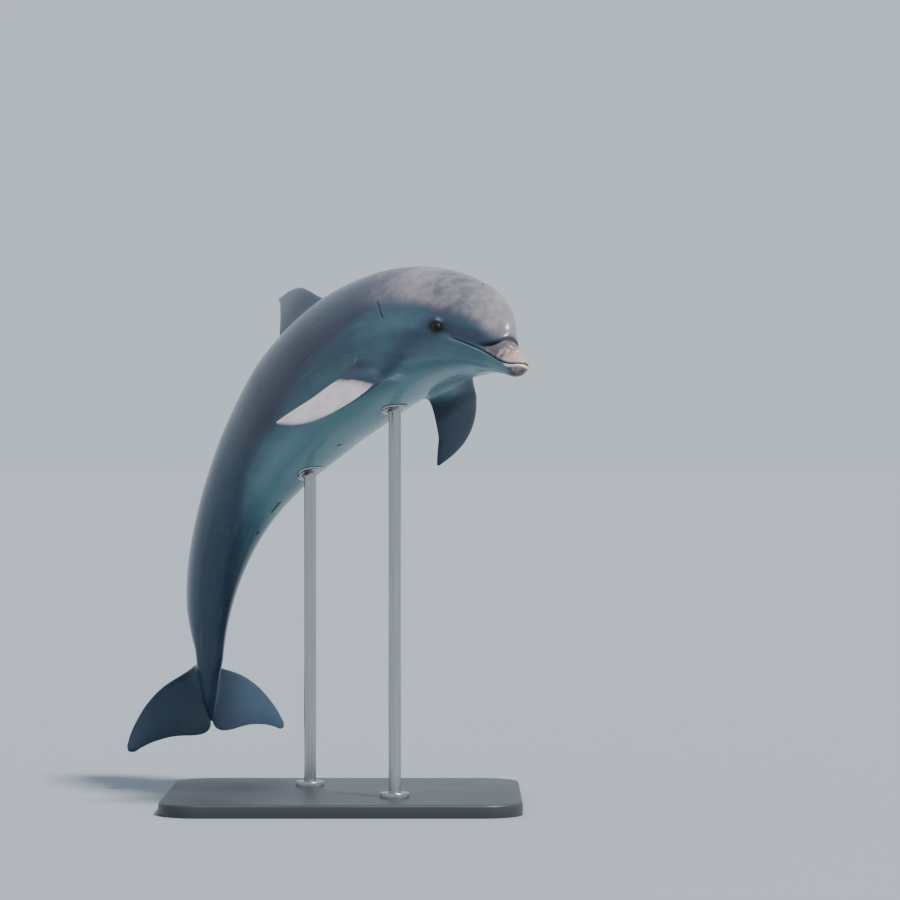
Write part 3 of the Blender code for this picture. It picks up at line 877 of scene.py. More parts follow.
blowhole_middle = skin_points(BLOWHOLE_AT, math.pi / 2)[0]
fold_lines = {name: along_skin(places) for name, places in FOLDS.items()}
print("blowhole at", blowhole_middle.round(3).tolist())

# %% Split faces
NEAR_BLOWHOLE = (0.0016, 0.12, 0.024)  # shortest edge, its growth for each metre, and where that starts
NEAR_LIPS = (0.0017, 0.40, 0.010)
NEAR_CREASE = (0.0016, 0.35, 0.005)
NEAR_FOLD = (0.0024, 0.25, 0.006)
LIPS_END = 0.109
SPLITS = 3


def edge_size(far, shortest, growth, start):
    return shortest + growth * np.maximum(far - start, 0)


def wanted_size(points, stations, angles):
    """The length that edges should have at most, near the fine forms."""
    _, rise = skin_offsets(stations, angles)
    from_lips = np.abs(rise - smooth(MOUTH, 1, stations)) * LENGTH
    crease, _ = off_crease(stations, rise)
    sizes = [
        edge_size(np.linalg.norm(points - blowhole_middle, axis=1), *NEAR_BLOWHOLE),
        np.where(stations < LIPS_END, edge_size(from_lips, *NEAR_LIPS), FAR_OFF),
        edge_size(np.abs(crease), *NEAR_CREASE),
    ]
    sizes += [edge_size(nearest(points, line)[0], *NEAR_FOLD) for line in fold_lines.values()]
    return np.minimum(np.min(sizes, axis=0), FAR_OFF)


def placed(mesh):
    stations = np.array([v[station_layer] for v in mesh.verts])
    angles = np.array([v[angle_layer] for v in mesh.verts])
    return stations, angles, skin_points(stations, angles)


whole = {edge for faces in patch_faces.values() for f in faces for edge in f.edges}
for level in range(SPLITS):
    stations, angles, points = placed(skin)
    size = wanted_size(points, stations, angles)
    skin.verts.index_update()
    long_edges = []
    for edge in skin.edges:
        if edge in whole:
            continue
        a, b = (v.index for v in edge.verts)
        if min(size[a], size[b]) < 0.02 and abs(angles[a] - angles[b]) < 1:
            if np.linalg.norm(points[a] - points[b]) > 1.4 * (size[a] + size[b]) / 2:
                long_edges.append(edge)
    bmesh.ops.subdivide_edges(skin, edges=long_edges, cuts=1, use_grid_fill=True)
    print("level", level, "split", len(long_edges), "edges,", len(skin.faces), "faces")

# %% [markdown]
# ## Lips, creases and folds
#
# Each small form is a smooth bump or groove with a distance from its line: a bell curve is 1 on the line
# and fades to nothing beside it. Their sum is how far each corner moves out along the skin's own
# direction. A groove of real depth catches the light from every side, which a painted line doesn't.

# %% Relief
LIP_GROOVE, LIP_SWELL = 0.0034, 0.0016
# Each form is a height, how far from the line it lies, and its width.
LIP_FORMS = ((LIP_SWELL, 0.0055, 0.0040), (1.4 * LIP_SWELL, -0.0060, 0.0045))
CREASE_FORMS = ((-0.0085, -0.0006, 0.0038), (0.0020, 0.0130, 0.0100), (-0.0022, -0.0080, 0.0080))
BLOWHOLE_FORMS = ((-0.0042, 0.0, 0.0019), (0.0026, 0.0075, 0.0065), (0.0014, -0.0065, 0.0050))
MOUTH_CORNER, DIMPLE, DIMPLE_WIDTH = 0.1050, 0.0022, 0.006


def add_forms(out, forms, share, distance):
    for height, place, width in forms:
        out += height * share * bell(distance - place, width)


def relief(stations, angles, points):
    """How far the skin stands out, in metres."""
    _, rise = skin_offsets(stations, angles)
    out = np.zeros(len(points))

    # The mouth: a groove between two swollen lips, the lower one a little fuller.
    from_lips = (rise - smooth(MOUTH, 1, stations)) * LENGTH
    groove_width = 0.0015 + 0.0006 * step_up(0.02, 0.08, stations)
    out -= LIP_GROOVE * step_up(0.1055, 0.098, stations) * bell(from_lips, groove_width)
    add_forms(out, LIP_FORMS, step_up(0.100, 0.070, stations), from_lips)
    # At its corner the mouth ends in a small dimple.
    from_corner = (stations - MOUTH_CORNER) * LENGTH
    out -= DIMPLE * bell(from_lips, DIMPLE_WIDTH) * bell(from_corner, DIMPLE_WIDTH)

    # The crease under the melon, which bulges over it.
    crease, down = off_crease(stations, rise)
    add_forms(out, CREASE_FORMS, step_up(1.0, 0.72, down), crease)

    # The blowhole: a crescent slit, its ends towards the beak, in front of it the plug that closes it.
    slit, near = off_blowhole(points, 0.019)
    add_forms(out, BLOWHOLE_FORMS, near, slit)

    # Folds of the body, each with a low swell beside it.
    for name, line in fold_lines.items():
        far, share = nearest(points, line)
        width, depth = FOLD_SIZE[name]
        ends = step_up(0.0, 0.25, share) * step_up(1.0, 0.75, share)
        out -= depth * ends * bell(far, width)
        out += 0.35 * depth * ends * bell(far - 2.4 * width, 1.3 * width)
    return out


stations, angles, points = placed(skin)
normals = skin_normals(stations, angles)
lifted = points + normals * relief(stations, angles, points)[:, None]
print("relief from", round(float(((lifted - points) * normals).sum(1).min()) * 1000, 1), "mm")

for v, place in zip(skin.verts, lifted):
    v.co = place

# %% [markdown]
# ## Growing out of a patch
#
# Fins and eyelids are both made by extruding a patch of faces ring by ring. The operator joins each new
# ring to the last one, so there is no seam. The old patch is deleted each time, or it would stay inside
# as a hidden wall.

# %% Grow rings
def patch_corners(name, grown):
    """The patch's corners in order, with their place on the round plate."""
    i0, i1, j0, j1 = grown["patch"]
    found = {v for f in patch_faces[name] for v in f.verts}
    corners = sorted(found, key=lambda v: (v[ring_layer], v[meridian_layer]))
    row = np.array([(2 * v[ring_layer] - i0 - i1) / (i1 - i0) for v in corners])
    column = np.array([(2 * v[meridian_layer] - j0 - j1) / (j1 - j0) for v in corners])
    u, across = plate(row, column)
    return corners, -u, across * grown["sense"]


def grow_rings(name, corners, rings):
    """Extrudes the patch once for each (share of the reach, places) and moves it there."""
    index = {(v[ring_layer], v[meridian_layer]): k for k, v in enumerate(corners)}
    faces, grown = patch_faces[name], []
    for share, places in rings:
        made = bmesh.ops.extrude_face_region(skin, geom=faces)["geom"]
        bmesh.ops.delete(skin, geom=faces, context="FACES")
        faces = [f for f in made if isinstance(f, bmesh.types.BMFace)]
        grown.append({v for f in faces for v in f.verts})
        for v in grown[-1]:
            k = index[(v[ring_layer], v[meridian_layer])]
            v.co = places[k]
            v[reach_layer] = share[k]
    patch_faces[name] = faces
    return grown


print("rings can be grown")

# %% [markdown]
# ## Eyelids
#
# A dolphin's eye is a ball that bulges under thin skin with an almond opening. So the rings run from a
# circle on the cheek to the opening, raised where the skin would pass through the ball, with a brow over
# it and a few folds round it. The last ones roll over the rim of the lids and go down beside the ball.

# %% Eyelids
LID, LID_ROLL = 0.0019, 0.0011
LID_RINGS = 22
LID_BLEND = 0.0026  # how softly the lids run out into the cheek
BROW_HEIGHT, BROW_AT, BROW_WIDTH = 0.0066, 0.0180, 0.0080
LID_FOLDS = ((0.0125, 0.0007, 1), (0.0215, 0.0008, 1), (0.0128, 0.0007, -1), (0.0175, 0.0006, -1))
FOLD_WIDTH = 0.0011
OPENING_HALF, OPENING_UP, OPENING_DOWN = 0.0146, 0.0092, 0.0086
OPENING_TILT, OPENING_POINTED = math.radians(-7), 1.35
OVER_THE_RIM = ((0.45, 0.15), (0.85, 0.5), (1.0, 1.1))  # inwards and down, in rolls of the lid
BESIDE_THE_BALL = ((1.0, 0.0004), (0.4, 0.0022), (-0.6, 0.0055))  # inwards, and metres under the ball


def soft_max(a, b, blur):
    return (a + b + np.sqrt((a - b) ** 2 + blur**2)) / 2


def ball_height(x, y):
    far = np.hypot(x, y)
    dome = np.sqrt(np.maximum(EYE_RADIUS**2 - far**2, 0.0)) - (EYE_RADIUS - EYE_PROUD)
    return dome - 2 * np.maximum(far - 0.95 * EYE_RADIUS, 0.0)


def lid_height(x, y, flat):
    """How high the lids stand over the flat plane through the opening."""
    brow = BROW_HEIGHT * bell(np.hypot(x / 1.9, y - BROW_AT), BROW_WIDTH)
    cheek = flat + 0.0012 * bell(np.hypot(x, y), 0.026) + brow
    height = soft_max(ball_height(x, y) + LID, cheek, LID_BLEND)
    oval = np.hypot(x / 1.4, y)
    for radius, depth, upper in LID_FOLDS:
        height -= depth * bell(oval - radius, FOLD_WIDTH) * step_up(-0.003, 0.005, upper * y)
    return height


def opening(at, grow=0.0):
    """The rim of the lids in the direction at, made larger by grow."""
    x = (OPENING_HALF + grow) * np.cos(at)
    high = np.where(np.sin(at) > 0, OPENING_UP + grow, OPENING_DOWN + grow)
    y = high * np.sign(np.sin(at)) * np.abs(np.sin(at)) ** OPENING_POINTED
    cos, sin = math.cos(OPENING_TILT), math.sin(OPENING_TILT)
    return x * cos - y * sin, x * sin + y * cos


def grow_lids(name):
    middle, ahead, above, out = eye_frame(name)
    corners, plate_x, plate_y = patch_corners(name, EYES[name])
    at = np.arctan2(plate_y, plate_x)
    edge = np.array([v.co for v in corners]) - middle
    edge_x, edge_y = edge @ ahead, edge @ above
    rim_x, rim_y = opening(at)
    nothing = np.zeros(len(at))
    rings = []

    def place(x, y, height):
        rings.append((nothing, middle + np.outer(x, ahead) + np.outer(y, above) + np.outer(height, out)))

    for k in range(1, LID_RINGS + 1):
        near = 1 - (1 - k / LID_RINGS) ** 1.5
        x, y = edge_x + (rim_x - edge_x) * near, edge_y + (rim_y - edge_y) * near
        station, angle, _ = body_coordinates(middle + np.outer(x, ahead) + np.outer(y, above))
        under = skin_points(station, angle)
        under = under + skin_normals(station, angle) * relief(station, angle, under)[:, None] - middle
        keep = 1 - near**2
        x, y = x + (under @ ahead - x) * keep, y + (under @ above - y) * keep
        place(x, y, lid_height(x, y, under @ out) * near**0.5 + (under @ out) * (1 - near**0.5))
    top = lid_height(rim_x, rim_y, nothing)
    for inward, down in OVER_THE_RIM:
        x, y = opening(at, -LID_ROLL * inward)
        place(x, y, top - LID_ROLL * down)
    full = np.hypot(plate_x, plate_y)
    for inward, deep in BESIDE_THE_BALL:
        x, y = opening(at, -LID_ROLL * inward)
        x, y = x * full, y * full
        place(x, y, np.minimum(ball_height(x, y) - deep, top - 1.3 * LID_ROLL))
    grow_rings(name, corners, rings)
    return np.abs(edge @ out).max()


for name in EYES:
    print(name, "lids grown, edge", round(grow_lids(name) * 1000, 1), "mm behind the opening")

# %% [markdown]
# ## Growing the fins
#
# The first rings of a fin are the fillet: they leave along the body and arrive along the fin, like a
# hose bent by two straight ends. The rest follow the fin's sections, closer together towards the tip,
# and the last few draw in to round it.

# %% Grow a fin
FILLET_RINGS, BLADE_RINGS = 6, 24
FILLETS = {  # share of the reach that it takes at the front edge and at the back edge, rounds of smoothing
    "dorsal_fin": (0.13, 0.13, 8),
    "flipper_left": (0.12, 0.12, 14),
    "flipper_right": (0.12, 0.12, 14),
    "fluke_left": (0.07, 0.014, 16),
    "fluke_right": (0.07, 0.014, 16),
}
FILLET_PULL = 1.1  # how far the fillet runs straight at its two ends, as a share of its span
SOFT_LEAVING = 5
TIP_ROUNDING = ((0.0012, 0.86), (0.0022, 0.62), (0.0028, 0.30))  # metres further out, share of the size


def soft_ring(values, times):
    """Evens out values that go once round a fin, without lowering any of its highest ones."""
    for _ in range(times):
        beside = (np.roll(values, 1) + np.roll(values, -1)) / 2
        values = np.maximum((values + beside) / 2, beside)
    return values


def hermite(a, leave, b, arrive, t):
    """A curve from a to b that leaves and arrives along the given directions."""
    return (
        a * (2 * t**3 - 3 * t**2 + 1)
        + leave * (t**3 - 2 * t**2 + t)
        + b * (3 * t**2 - 2 * t**3)
        + arrive * (t**3 - t**2)
    )


def grow_fin(name):
    fin = FINS[name]
    corners, ahead, aside = patch_corners(name, fin)
    start = np.array([v.co for v in corners])

    # Where the fin leaves the body, in the direction of each corner, and the skin's direction there.
    turn, meet_station, meet_angle, leaves = fin["meeting"]
    at = np.arctan2(aside, ahead)
    meet = skin_points(looked_up(turn, meet_station, at), looked_up(turn, meet_angle, at))
    corner_stations = np.array([v[station_layer] for v in corners])
    normal = skin_normals(corner_stations, np.array([v[angle_layer] for v in corners]))
    leave = meet - start
    leave = unit(leave - normal * (leave * normal).sum(1, keepdims=True))

    # The fillet ends a little way up the fin, counted from where the body lets go of it.
    front, back, smoothing = FILLETS[name]
    blade_from = looked_up(turn, soft_ring(leaves, SOFT_LEAVING), at)
    blade_from = blade_from + back + (front - back) * (1 + np.cos(at)) / 2
    join = fin_points(fin, blade_from, ahead, aside)
    arrive = unit(fin_points(fin, blade_from + 0.01, ahead, aside) - join)
    span = FILLET_PULL * np.linalg.norm(join - start, axis=1, keepdims=True)
    rings = []
    for k in range(1, FILLET_RINGS + 1):
        t = k / FILLET_RINGS
        rings.append((blade_from * t, hermite(start, leave * span, join, arrive * span, t)))
    for k in range(1, BLADE_RINGS + 1):
        share = blade_from + (1 - blade_from) * math.sin(k / BLADE_RINGS * math.pi / 2)
        rings.append((share, fin_points(fin, share, ahead, aside)))
    last = rings[-1][1]
    tip = last.mean(0)
    out = unit(tip - fin_points(fin, 0.97, 0.0, 0.0)[0])
    for further, scale in TIP_ROUNDING:
        rings.append((np.ones(len(start)), tip + out * further + (last - tip) * scale))

    corner_places = {(v[ring_layer], v[meridian_layer]): (a, b) for v, a, b in zip(corners, ahead, aside)}
    grown = grow_rings(name, corners, rings)
    for ring in grown:
        for v in ring:
            if v.is_valid:
                v[fin_layer] = 1 + list(FINS).index(name)
                v[ahead_layer], v[aside_layer] = corner_places[(v[ring_layer], v[meridian_layer])]

    # The fillet and the skin beside it are relaxed, so no ridge shows where one turns into the other.
    soft = {v for ring in grown[: FILLET_RINGS + 1] for v in ring if v.is_valid}
    soft |= {v for v in corners if v.is_valid}
    for _ in range(2):
        soft |= {edge.other_vert(v) for v in soft for edge in v.link_edges}
    every_way = {"use_axis_x": True, "use_axis_y": True, "use_axis_z": True}
    for _ in range(smoothing):
        bmesh.ops.smooth_vert(skin, verts=list(soft), factor=0.5, **every_way)
    return len(rings)


for name in FINS:
    print(name, "grown in", grow_fin(name), "rings,", len(skin.faces), "faces")

bmesh.ops.recalc_face_normals(skin, faces=skin.faces)
open_edges = sum(1 for edge in skin.edges if not edge.is_manifold)
print("skin holds", round(skin.calc_volume(signed=True), 4), "cubic metres,", open_edges, "open edges")

# %% [markdown]
# A bmesh is only a workbench. To be seen, its faces go into a mesh, and the mesh into an object with a
# material. Every piece also has to say which body carries it, and this model has only one.

# %% From bmesh to an object
def to_object(name, bm, material):
    """Makes the mesh an object that rides on the model's only body."""
    mesh = bpy.data.meshes.new(name)
    bm.to_mesh(mesh)
    bm.free()
    mesh.shade_smooth()
    mesh.materials.append(material)
    piece = bpy.data.objects.new(name, mesh)
    bpy.context.scene.collection.objects.link(piece)
    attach(piece, "root")
    return piece


print("pieces can be made")

# %% [markdown]
# ## Where the colours lie
#
# A bottlenose dolphin is dark above and pale below, in three tones with soft borders: the cape on the
# back, the flank, and the belly. The borders are given as heights above the axis along the body, and
# each corner of the skin gets its tone from them. A painted picture could hold the same, but it would
# have to be unwrapped without a seam, and a border given as a few heights is easy to move.

# %% Borders of the tones
CAPE_EDGE = (  # station and rise of the cape's lower border
    (0.000, 0.0040),
    (0.046, 0.0060),
    (0.056, 0.0130),
    (0.070, 0.0230),
    (0.100, 0.0211),
    (0.126, 0.0197),
    (0.152, 0.0214),
    (0.206, 0.0265),
    (0.239, 0.0258),
    (0.269, 0.0139),
    (0.305, 0.0005),
    (0.347, -0.0083),
    (0.398, -0.0184),
    (0.449, -0.0278),
    (0.512, -0.0346),
    (0.570, -0.0400),
    (0.700, -0.0460),
    (1.000, -0.0200),
)
BELLY_EDGE = (  # station and rise of the border between flank and belly
    (0.000, -0.010),
    (0.040, -0.0160),
    (0.090, -0.0260),
    (0.125, -0.0360),
    (0.161, -0.0450),
    (0.219, -0.0520),
    (0.268, -0.0580),
    (0.339, -0.0620),
    (0.433, -0.0640),
    (0.497, -0.0560),
    (0.550, -0.0480),
    (0.607, -0.0450),
    (0.650, -0.0500),
    (0.700, -0.0560),
    (1.000, -0.0600),
)
SUNLIT_CROWN_EDGE = (  # station and rise of the border of the painted sunlight on the crown
    (0.048, 0.0160),
    (0.060, 0.0190),
    (0.072, 0.0230),
    (0.090, 0.0290),
    (0.120, 0.0300),
    (0.200, 0.0290),
    (0.300, 0.0300),
)
STRIPE_TOP = (  # station and rise of the eye stripe's upper border
    (0.050, 0.0150),
    (0.065, 0.0220),
    (0.080, 0.0205),
    (0.100, 0.0190),
    (0.126, 0.0190),
    (0.150, 0.0150),
)
STRIPE_FOOT = ((0.050, 0.0022), (0.071, 0.0026), (0.092, 0.0036), (0.118, 0.0046), (0.150, 0.0010))
FLIPPER_BAND = ((0.140, 0.004), (0.215, -0.043))  # from the eye to the flipper
PALE_SHOULDER = ((0.165, 0.008), (0.262, -0.012))
FIN_TONE = {
    "dorsal_fin": 0.90,
    "flipper_left": 0.84,
    "flipper_right": 0.95,
    "fluke_left": 0.92,
    "fluke_right": 0.90,
}


def line_share(stations, rise, start, end):
    """How far each place is from the straight line between two places, in metres, and where along it."""
    a, b = np.array(start) * LENGTH, np.array(end) * LENGTH
    at = np.stack([stations, rise], 1) * LENGTH - a
    along = np.clip(at @ (b - a) / ((b - a) @ (b - a)), 0, 1)
    return np.linalg.norm(at - along[:, None] * (b - a), axis=1), along


def tones(stations, rise):
    """From 0, the pale belly, to 1, the dark cape."""
    belly = smooth(BELLY_EDGE, 1, stations)
    cape = np.maximum(smooth(CAPE_EDGE, 1, stations), belly + 0.020)
    tone = 0.42 * step_up(belly - 0.011, belly + 0.013, rise)
    tone += 0.16 * step_up(belly + 0.01, cape, rise)
    tone += 0.42 * step_up(cape - 0.007, cape + 0.009, rise)
    # The cape is bluer towards the tail.
    tone -= 0.20 * step_up(0.52, 0.62, stations) * step_up(0.9, 1.0, tone)
    # The stripe through the eye, the darker band from the eye to the flipper, the paler shoulder.
    stripe = step_up(-0.0022, 0.0016, rise - smooth(STRIPE_FOOT, 1, stations))
    stripe *= step_up(0.0035, -0.0030, rise - smooth(STRIPE_TOP, 1, stations))
    stripe *= step_up(0.040, 0.062, stations) * step_up(0.156, 0.136, stations)
    tone += stripe * np.maximum(0.98 - tone, 0)
    far, along = line_share(stations, rise, *FLIPPER_BAND)
    tone += 0.17 * bell(far, 0.026) * step_up(0.0, 0.15, along)
    far, _ = line_share(stations, rise, *PALE_SHOULDER)
    tone -= 0.10 * bell(far, 0.034)
    return np.clip(tone, 0, 1)


at_eye = float(smooth(CAPE_EDGE, 1, EYE_AT)) * LENGTH
print("the cape's border runs", round(at_eye * 1000), "mm above the axis at the eye")

# %% [markdown]
# ## Markings
#
# Every corner of the skin now gets its markings as attributes of the mesh: the tone, the painted shade
# of the dark lines and lids with the dark skin round the eyes, the worn skin of the beak, the white lip,
# the painted sunlight on the crown with a painted highlight on the brow, and the painted sunlight on the
# blade of the right flipper. An attribute follows the skin wherever it is bent, and needs no picture.

# %% Markings on every corner
skin.verts.index_update()
count = len(skin.verts)
spots = np.array([v.co for v in skin.verts])
reach = np.array([v[reach_layer] for v in skin.verts])
fin_number = np.array([v[fin_layer] for v in skin.verts])
ahead_of = np.array([v[ahead_layer] for v in skin.verts])
aside_of = np.array([v[aside_layer] for v in skin.verts])
stations = np.array([v[station_layer] for v in skin.verts])
angles = np.array([v[angle_layer] for v in skin.verts])
body = fin_number == 0
stations[body], angles[body], _ = body_coordinates(spots[body])
rise = skin_offsets(stations, angles)[1]

SUNLIT_FROM, SUNLIT_SLANT = 0.265, 0.095  # share of the reach where the painted sunlight on a flipper's blade starts, less in front
tone = tones(stations, rise)
soot, worn, lip, blade = np.zeros(count), np.zeros(count), np.zeros(count), np.full(count, -1.0)

# The crown is painted paler above a border, as painted sunlight on the top of the head.
bleach = step_up(0.30, 0.20, stations) * step_up(-0.009, 0.009, rise - smooth(SUNLIT_CROWN_EDGE, 1, stations))
bleach *= body
# The fins take over from the body a little way out.
for number, name in enumerate(FINS, 1):
    mine = fin_number == number
    out, ahead, aside = reach[mine], ahead_of[mine], aside_of[mine]
    tone[mine] += step_up(0.02, 0.30, out) * (FIN_TONE[name] - tone[mine])
    if name in FLIPPERS:
        # 0 on the border between the painted shadow at the root and the painted sunlight on the blade, and
        # below it on the inner face, which gets none. Only the right one gets painted sunlight.
        sunlit_shift = -1.0 if name == "flipper_left" else 0.0
        slanted = out + SUNLIT_SLANT * ahead
        blade[mine] = sunlit_shift + slanted - SUNLIT_FROM - 0.5 * step_up(-0.40, 0.05, aside)
        # The body's painted shadow darkens the root of each flipper.
        soot[mine] += 0.45 * step_up(0.04, 0.14, out) * step_up(0.36, 0.26, slanted)
    elif name != "dorsal_fin":
        underside = step_up(0.2, -0.2, aside) * step_up(0.1, 0.4, out) * step_up(1.0, 0.2, np.abs(ahead))
        tone[mine] -= 0.12 * underside

# Painted shade in the hollows: between the lips, in the crease under the melon, in the blowhole and in the
# folds.
from_lips = (rise - smooth(MOUTH, 1, stations)) * LENGTH
soot += 0.85 * body * bell(from_lips, 0.0020) * step_up(0.112, 0.100, stations)
crease, down = off_crease(np.where(body, stations, 1.0), rise)
soot += 0.9 * bell(crease, 0.0055) * step_up(1.0, 0.75, down)
slit, hole = off_blowhole(spots, 0.018)
soot += 0.9 * hole * bell(slit, 0.0030)
for name, line in fold_lines.items():
    far, share = nearest(spots, line)
    soot += 0.8 * bell(far, FOLD_SIZE[name][0]) * step_up(0.0, 0.2, share) * step_up(1.0, 0.8, share)
# Round each eye: a dark ring, partly the dark skin round the opening and partly painted shade of the lids,
# a wider painted shade under the eye, and on the brow a painted highlight that takes the shade away and
# paints it paler.
for name in EYES:
    middle, ahead, above, out = eye_frame(name)
    x, y, z = (spots - middle) @ ahead, (spots - middle) @ above, (spots - middle) @ out
    near = np.abs(z) < 0.03
    rim, shadow = np.hypot(x / 1.75, y), np.hypot(x / 1.5, y + 0.004)
    brow = np.hypot(x / 2.2, y - 0.0205)
    soot += near * (1.2 * bell(rim, 0.0165) + 0.45 * bell(shadow, 0.028))
    soot -= near * 0.75 * bell(brow, 0.0055)
    bleach += near * 0.9 * bell(brow, 0.0060)

# Worn skin: pinkish on the beak, nearly white on the tip of the lower lip.
upper = step_up(-0.001, 0.002, from_lips)
beak_wear = 0.45 * step_up(0.070, 0.054, stations) + 0.55 * step_up(0.042, 0.018, stations)
worn += body * upper * step_up(0.001, -0.003, crease) * beak_wear
worn += body * (1 - upper) * 0.75 * step_up(0.026, 0.004, stations)
lip += body * step_up(0.027, 0.017, stations) * bell(from_lips + 0.0062, 0.0044)

print("tone from", round(float(tone.min()), 2), "to", round(float(tone.max()), 2), "on", count, "corners")

# %% [markdown]
# ## The wet skin
#
# The tone runs through a ramp of five colours, from the pale of the belly, tinted sea-green by painted
# reflected light of water, to the purplish dark of the cape. Real skin is never even: it has soft clouds
# as wide as a hand, streaks that follow the flow of the water, and the fine scratches that dolphins leave
# on each other. A thin clear coat over it all gives the shine of wet skin, as on a museum's painted cast.

# %% Skin colours
def shade(*colour):
    """A colour given the way a paint chart does, from 0 to 255, as light."""
    return tuple(c / 255 / 12.92 if c < 10.3 else ((c / 255 + 0.055) / 1.055) ** 2.4 for c in colour)


def opaque(*colour):
    return (*shade(*colour), 1.0)


# From the belly to the cape. The sea-green tint of the two pale tones is painted reflected light of water
# on the belly.
TONES_WITH_SEA_REFLECTION = (
    (0.00, shade(96, 136, 142)),
    (0.30, shade(79, 114, 122)),
    (0.56, shade(56, 78, 93)),
    (0.80, shade(47, 65, 82)),
    (1.00, shade(43, 52, 68)),
)
# The near-black of painted shade in the hollows, also used for the dark skin round the eyes.
SHADE_AND_DARK_SKIN = opaque(9, 13, 20)
# The pale of painted sunlight on the crown and of the painted highlight on the brow.
SUNLIT_CROWN = opaque(130, 124, 130)
SCRATCH = opaque(150, 158, 166)
WORN, WORN_DARK = opaque(170, 148, 136), opaque(84, 78, 86)
LIP = opaque(222, 206, 200)
# The pale of painted sunlight on the right flipper's blade.
SUNLIT_BLADE = opaque(176, 169, 171)


def attribute(place, name, output=2):
    return place.node("Attribute", {"attribute_name": name}, output=output)


skin_finish, skin_shader, place = finish(
    "wet_skin", IOR=1.33, Coat_Roughness=0.15, Coat_IOR=1.33, Subsurface_Weight=0.0
)
along = attribute(place, "along", output=1)
on_body = attribute(place, "on_body")
clouds = noise(place, 5.5, detail=4.0, roughness=0.55)
mottle = noise(place, 26.0, detail=5.0, roughness=0.6)
grain = noise(place, 420.0, detail=3.0)
streaks = noise(along, 17.0, detail=5.0, roughness=0.62, stretch=(0.08, 1.0, 1.0))
scratches = noise(along, 22.0, detail=0.0, stretch=(0.07, 1.0, 1.0))
scratch_zone = noise(place, 7.0, detail=1.0).between(0.55, 0.66)

tone_here = attribute(place, "tone") + (clouds - 0.5) * 0.24 + (mottle - 0.5) * 0.12
tone_here = tone_here + (streaks - 0.5) * on_body * 0.28
colour = tone_here.node("ValToRGB", {"stops": TONES_WITH_SEA_REFLECTION}, Fac=tone_here)
# The painted sunlight on the crown is broken into soft patches.
sunlit_patches = clouds.between(0.30, 0.62) * 0.5 + mottle.between(0.38, 0.62) * 0.3 + 0.2
colour = (attribute(place, "bleach") * sunlit_patches).mix(colour, SUNLIT_CROWN)
thin = (scratches - 0.5).math("ABSOLUTE").between(0.010, 0.002)
colour = (thin * scratch_zone * on_body * 0.16).mix(colour, SCRATCH)
# The right flipper's blade is painted pale: painted sunlight on its upper face.
sunlit_blade_share = (attribute(place, "blade") + (mottle - 0.5) * 0.05).between(-0.022, 0.022)
colour = (sunlit_blade_share * (mottle * 0.8 + 0.50)).math("MINIMUM", 1.0).mix(colour, SUNLIT_BLADE)
worn_here = attribute(place, "worn")
patches = noise(place, 60.0, detail=4.0, roughness=0.62)
worn_colour = (worn_here * 1.1 - 0.52 + (patches - 0.5) * 2.0).between(0.0, 0.62).mix(WORN_DARK, WORN)
colour = (worn_here + (patches - 0.5) * 0.4).between(0.12, 0.42).mix(colour, worn_colour)
colour = (attribute(place, "lip") + (mottle - 0.5) * 0.3).between(0.15, 0.8).mix(colour, LIP)
# Painted shade, near black, with less coat and more roughness where it lies.
shade_and_dark_skin_here = attribute(place, "soot")
colour = shade_and_dark_skin_here.math("MINIMUM", 0.97).mix(colour, SHADE_AND_DARK_SKIN)

wet = noise(place, 14.0, detail=3.0)
roughness = 0.24 + (wet - 0.5) * 0.18 + (grain - 0.5) * 0.10 + worn_here * 0.10 + shade_and_dark_skin_here * 0.25
pores = grain * 0.35 + streaks * 0.30 * on_body + mottle * 0.4
paint(
    skin_shader,
    Base_Color=colour,
    Roughness=roughness.math("MAXIMUM", 0.08),
    Coat_Weight=(1 - shade_and_dark_skin_here) * 0.32,
    Normal=bumped(pores, 0.0014, 0.40),
)

skin_piece = to_object("dolphin_skin", skin, skin_finish)
markings = {
    "tone": tone,
    "soot": soot,
    "worn": worn,
    "lip": lip,
    "blade": blade,
    "bleach": bleach,
    "on_body": body,
}
for name, values in markings.items():
    layer = skin_piece.data.attributes.new(name, "FLOAT", "POINT")
    layer.data.foreach_set("value", np.clip(values, -1, 1).astype(np.float32))
flow = np.stack([stations * LENGTH, 0.2 * np.cos(angles), 0.2 * np.sin(angles)], 1)
layer = skin_piece.data.attributes.new("along", "FLOAT_VECTOR", "POINT")
layer.data.foreach_set("vector", flow.astype(np.float32).ravel())

FLESH = ("head", "beak_upper", "jaw_lower", "neck", "chest", "trunk", "tail_base", "tail_stock", *FINS)
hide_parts(*FLESH)
skin_piece.data.calc_loop_triangles()
print("skin:", len(skin_piece.data.loop_triangles), "triangles")

# %% [markdown]
# ## The eyes
#
# Under the lids sits a whole ball, so the eye has a wet shine of its own and a real depth behind the
# rim. A ball with its pole to the front gives round faces for the pupil and the iris, and the clear
# front bulges a little. The pattern is painted by how far each corner is from the pole.

# %% Eyeballs
CORNEA, CORNEA_BULGE = math.radians(38), 0.05
BEHIND = 1.5  # a place outside iris and pupil, for the back of the ball


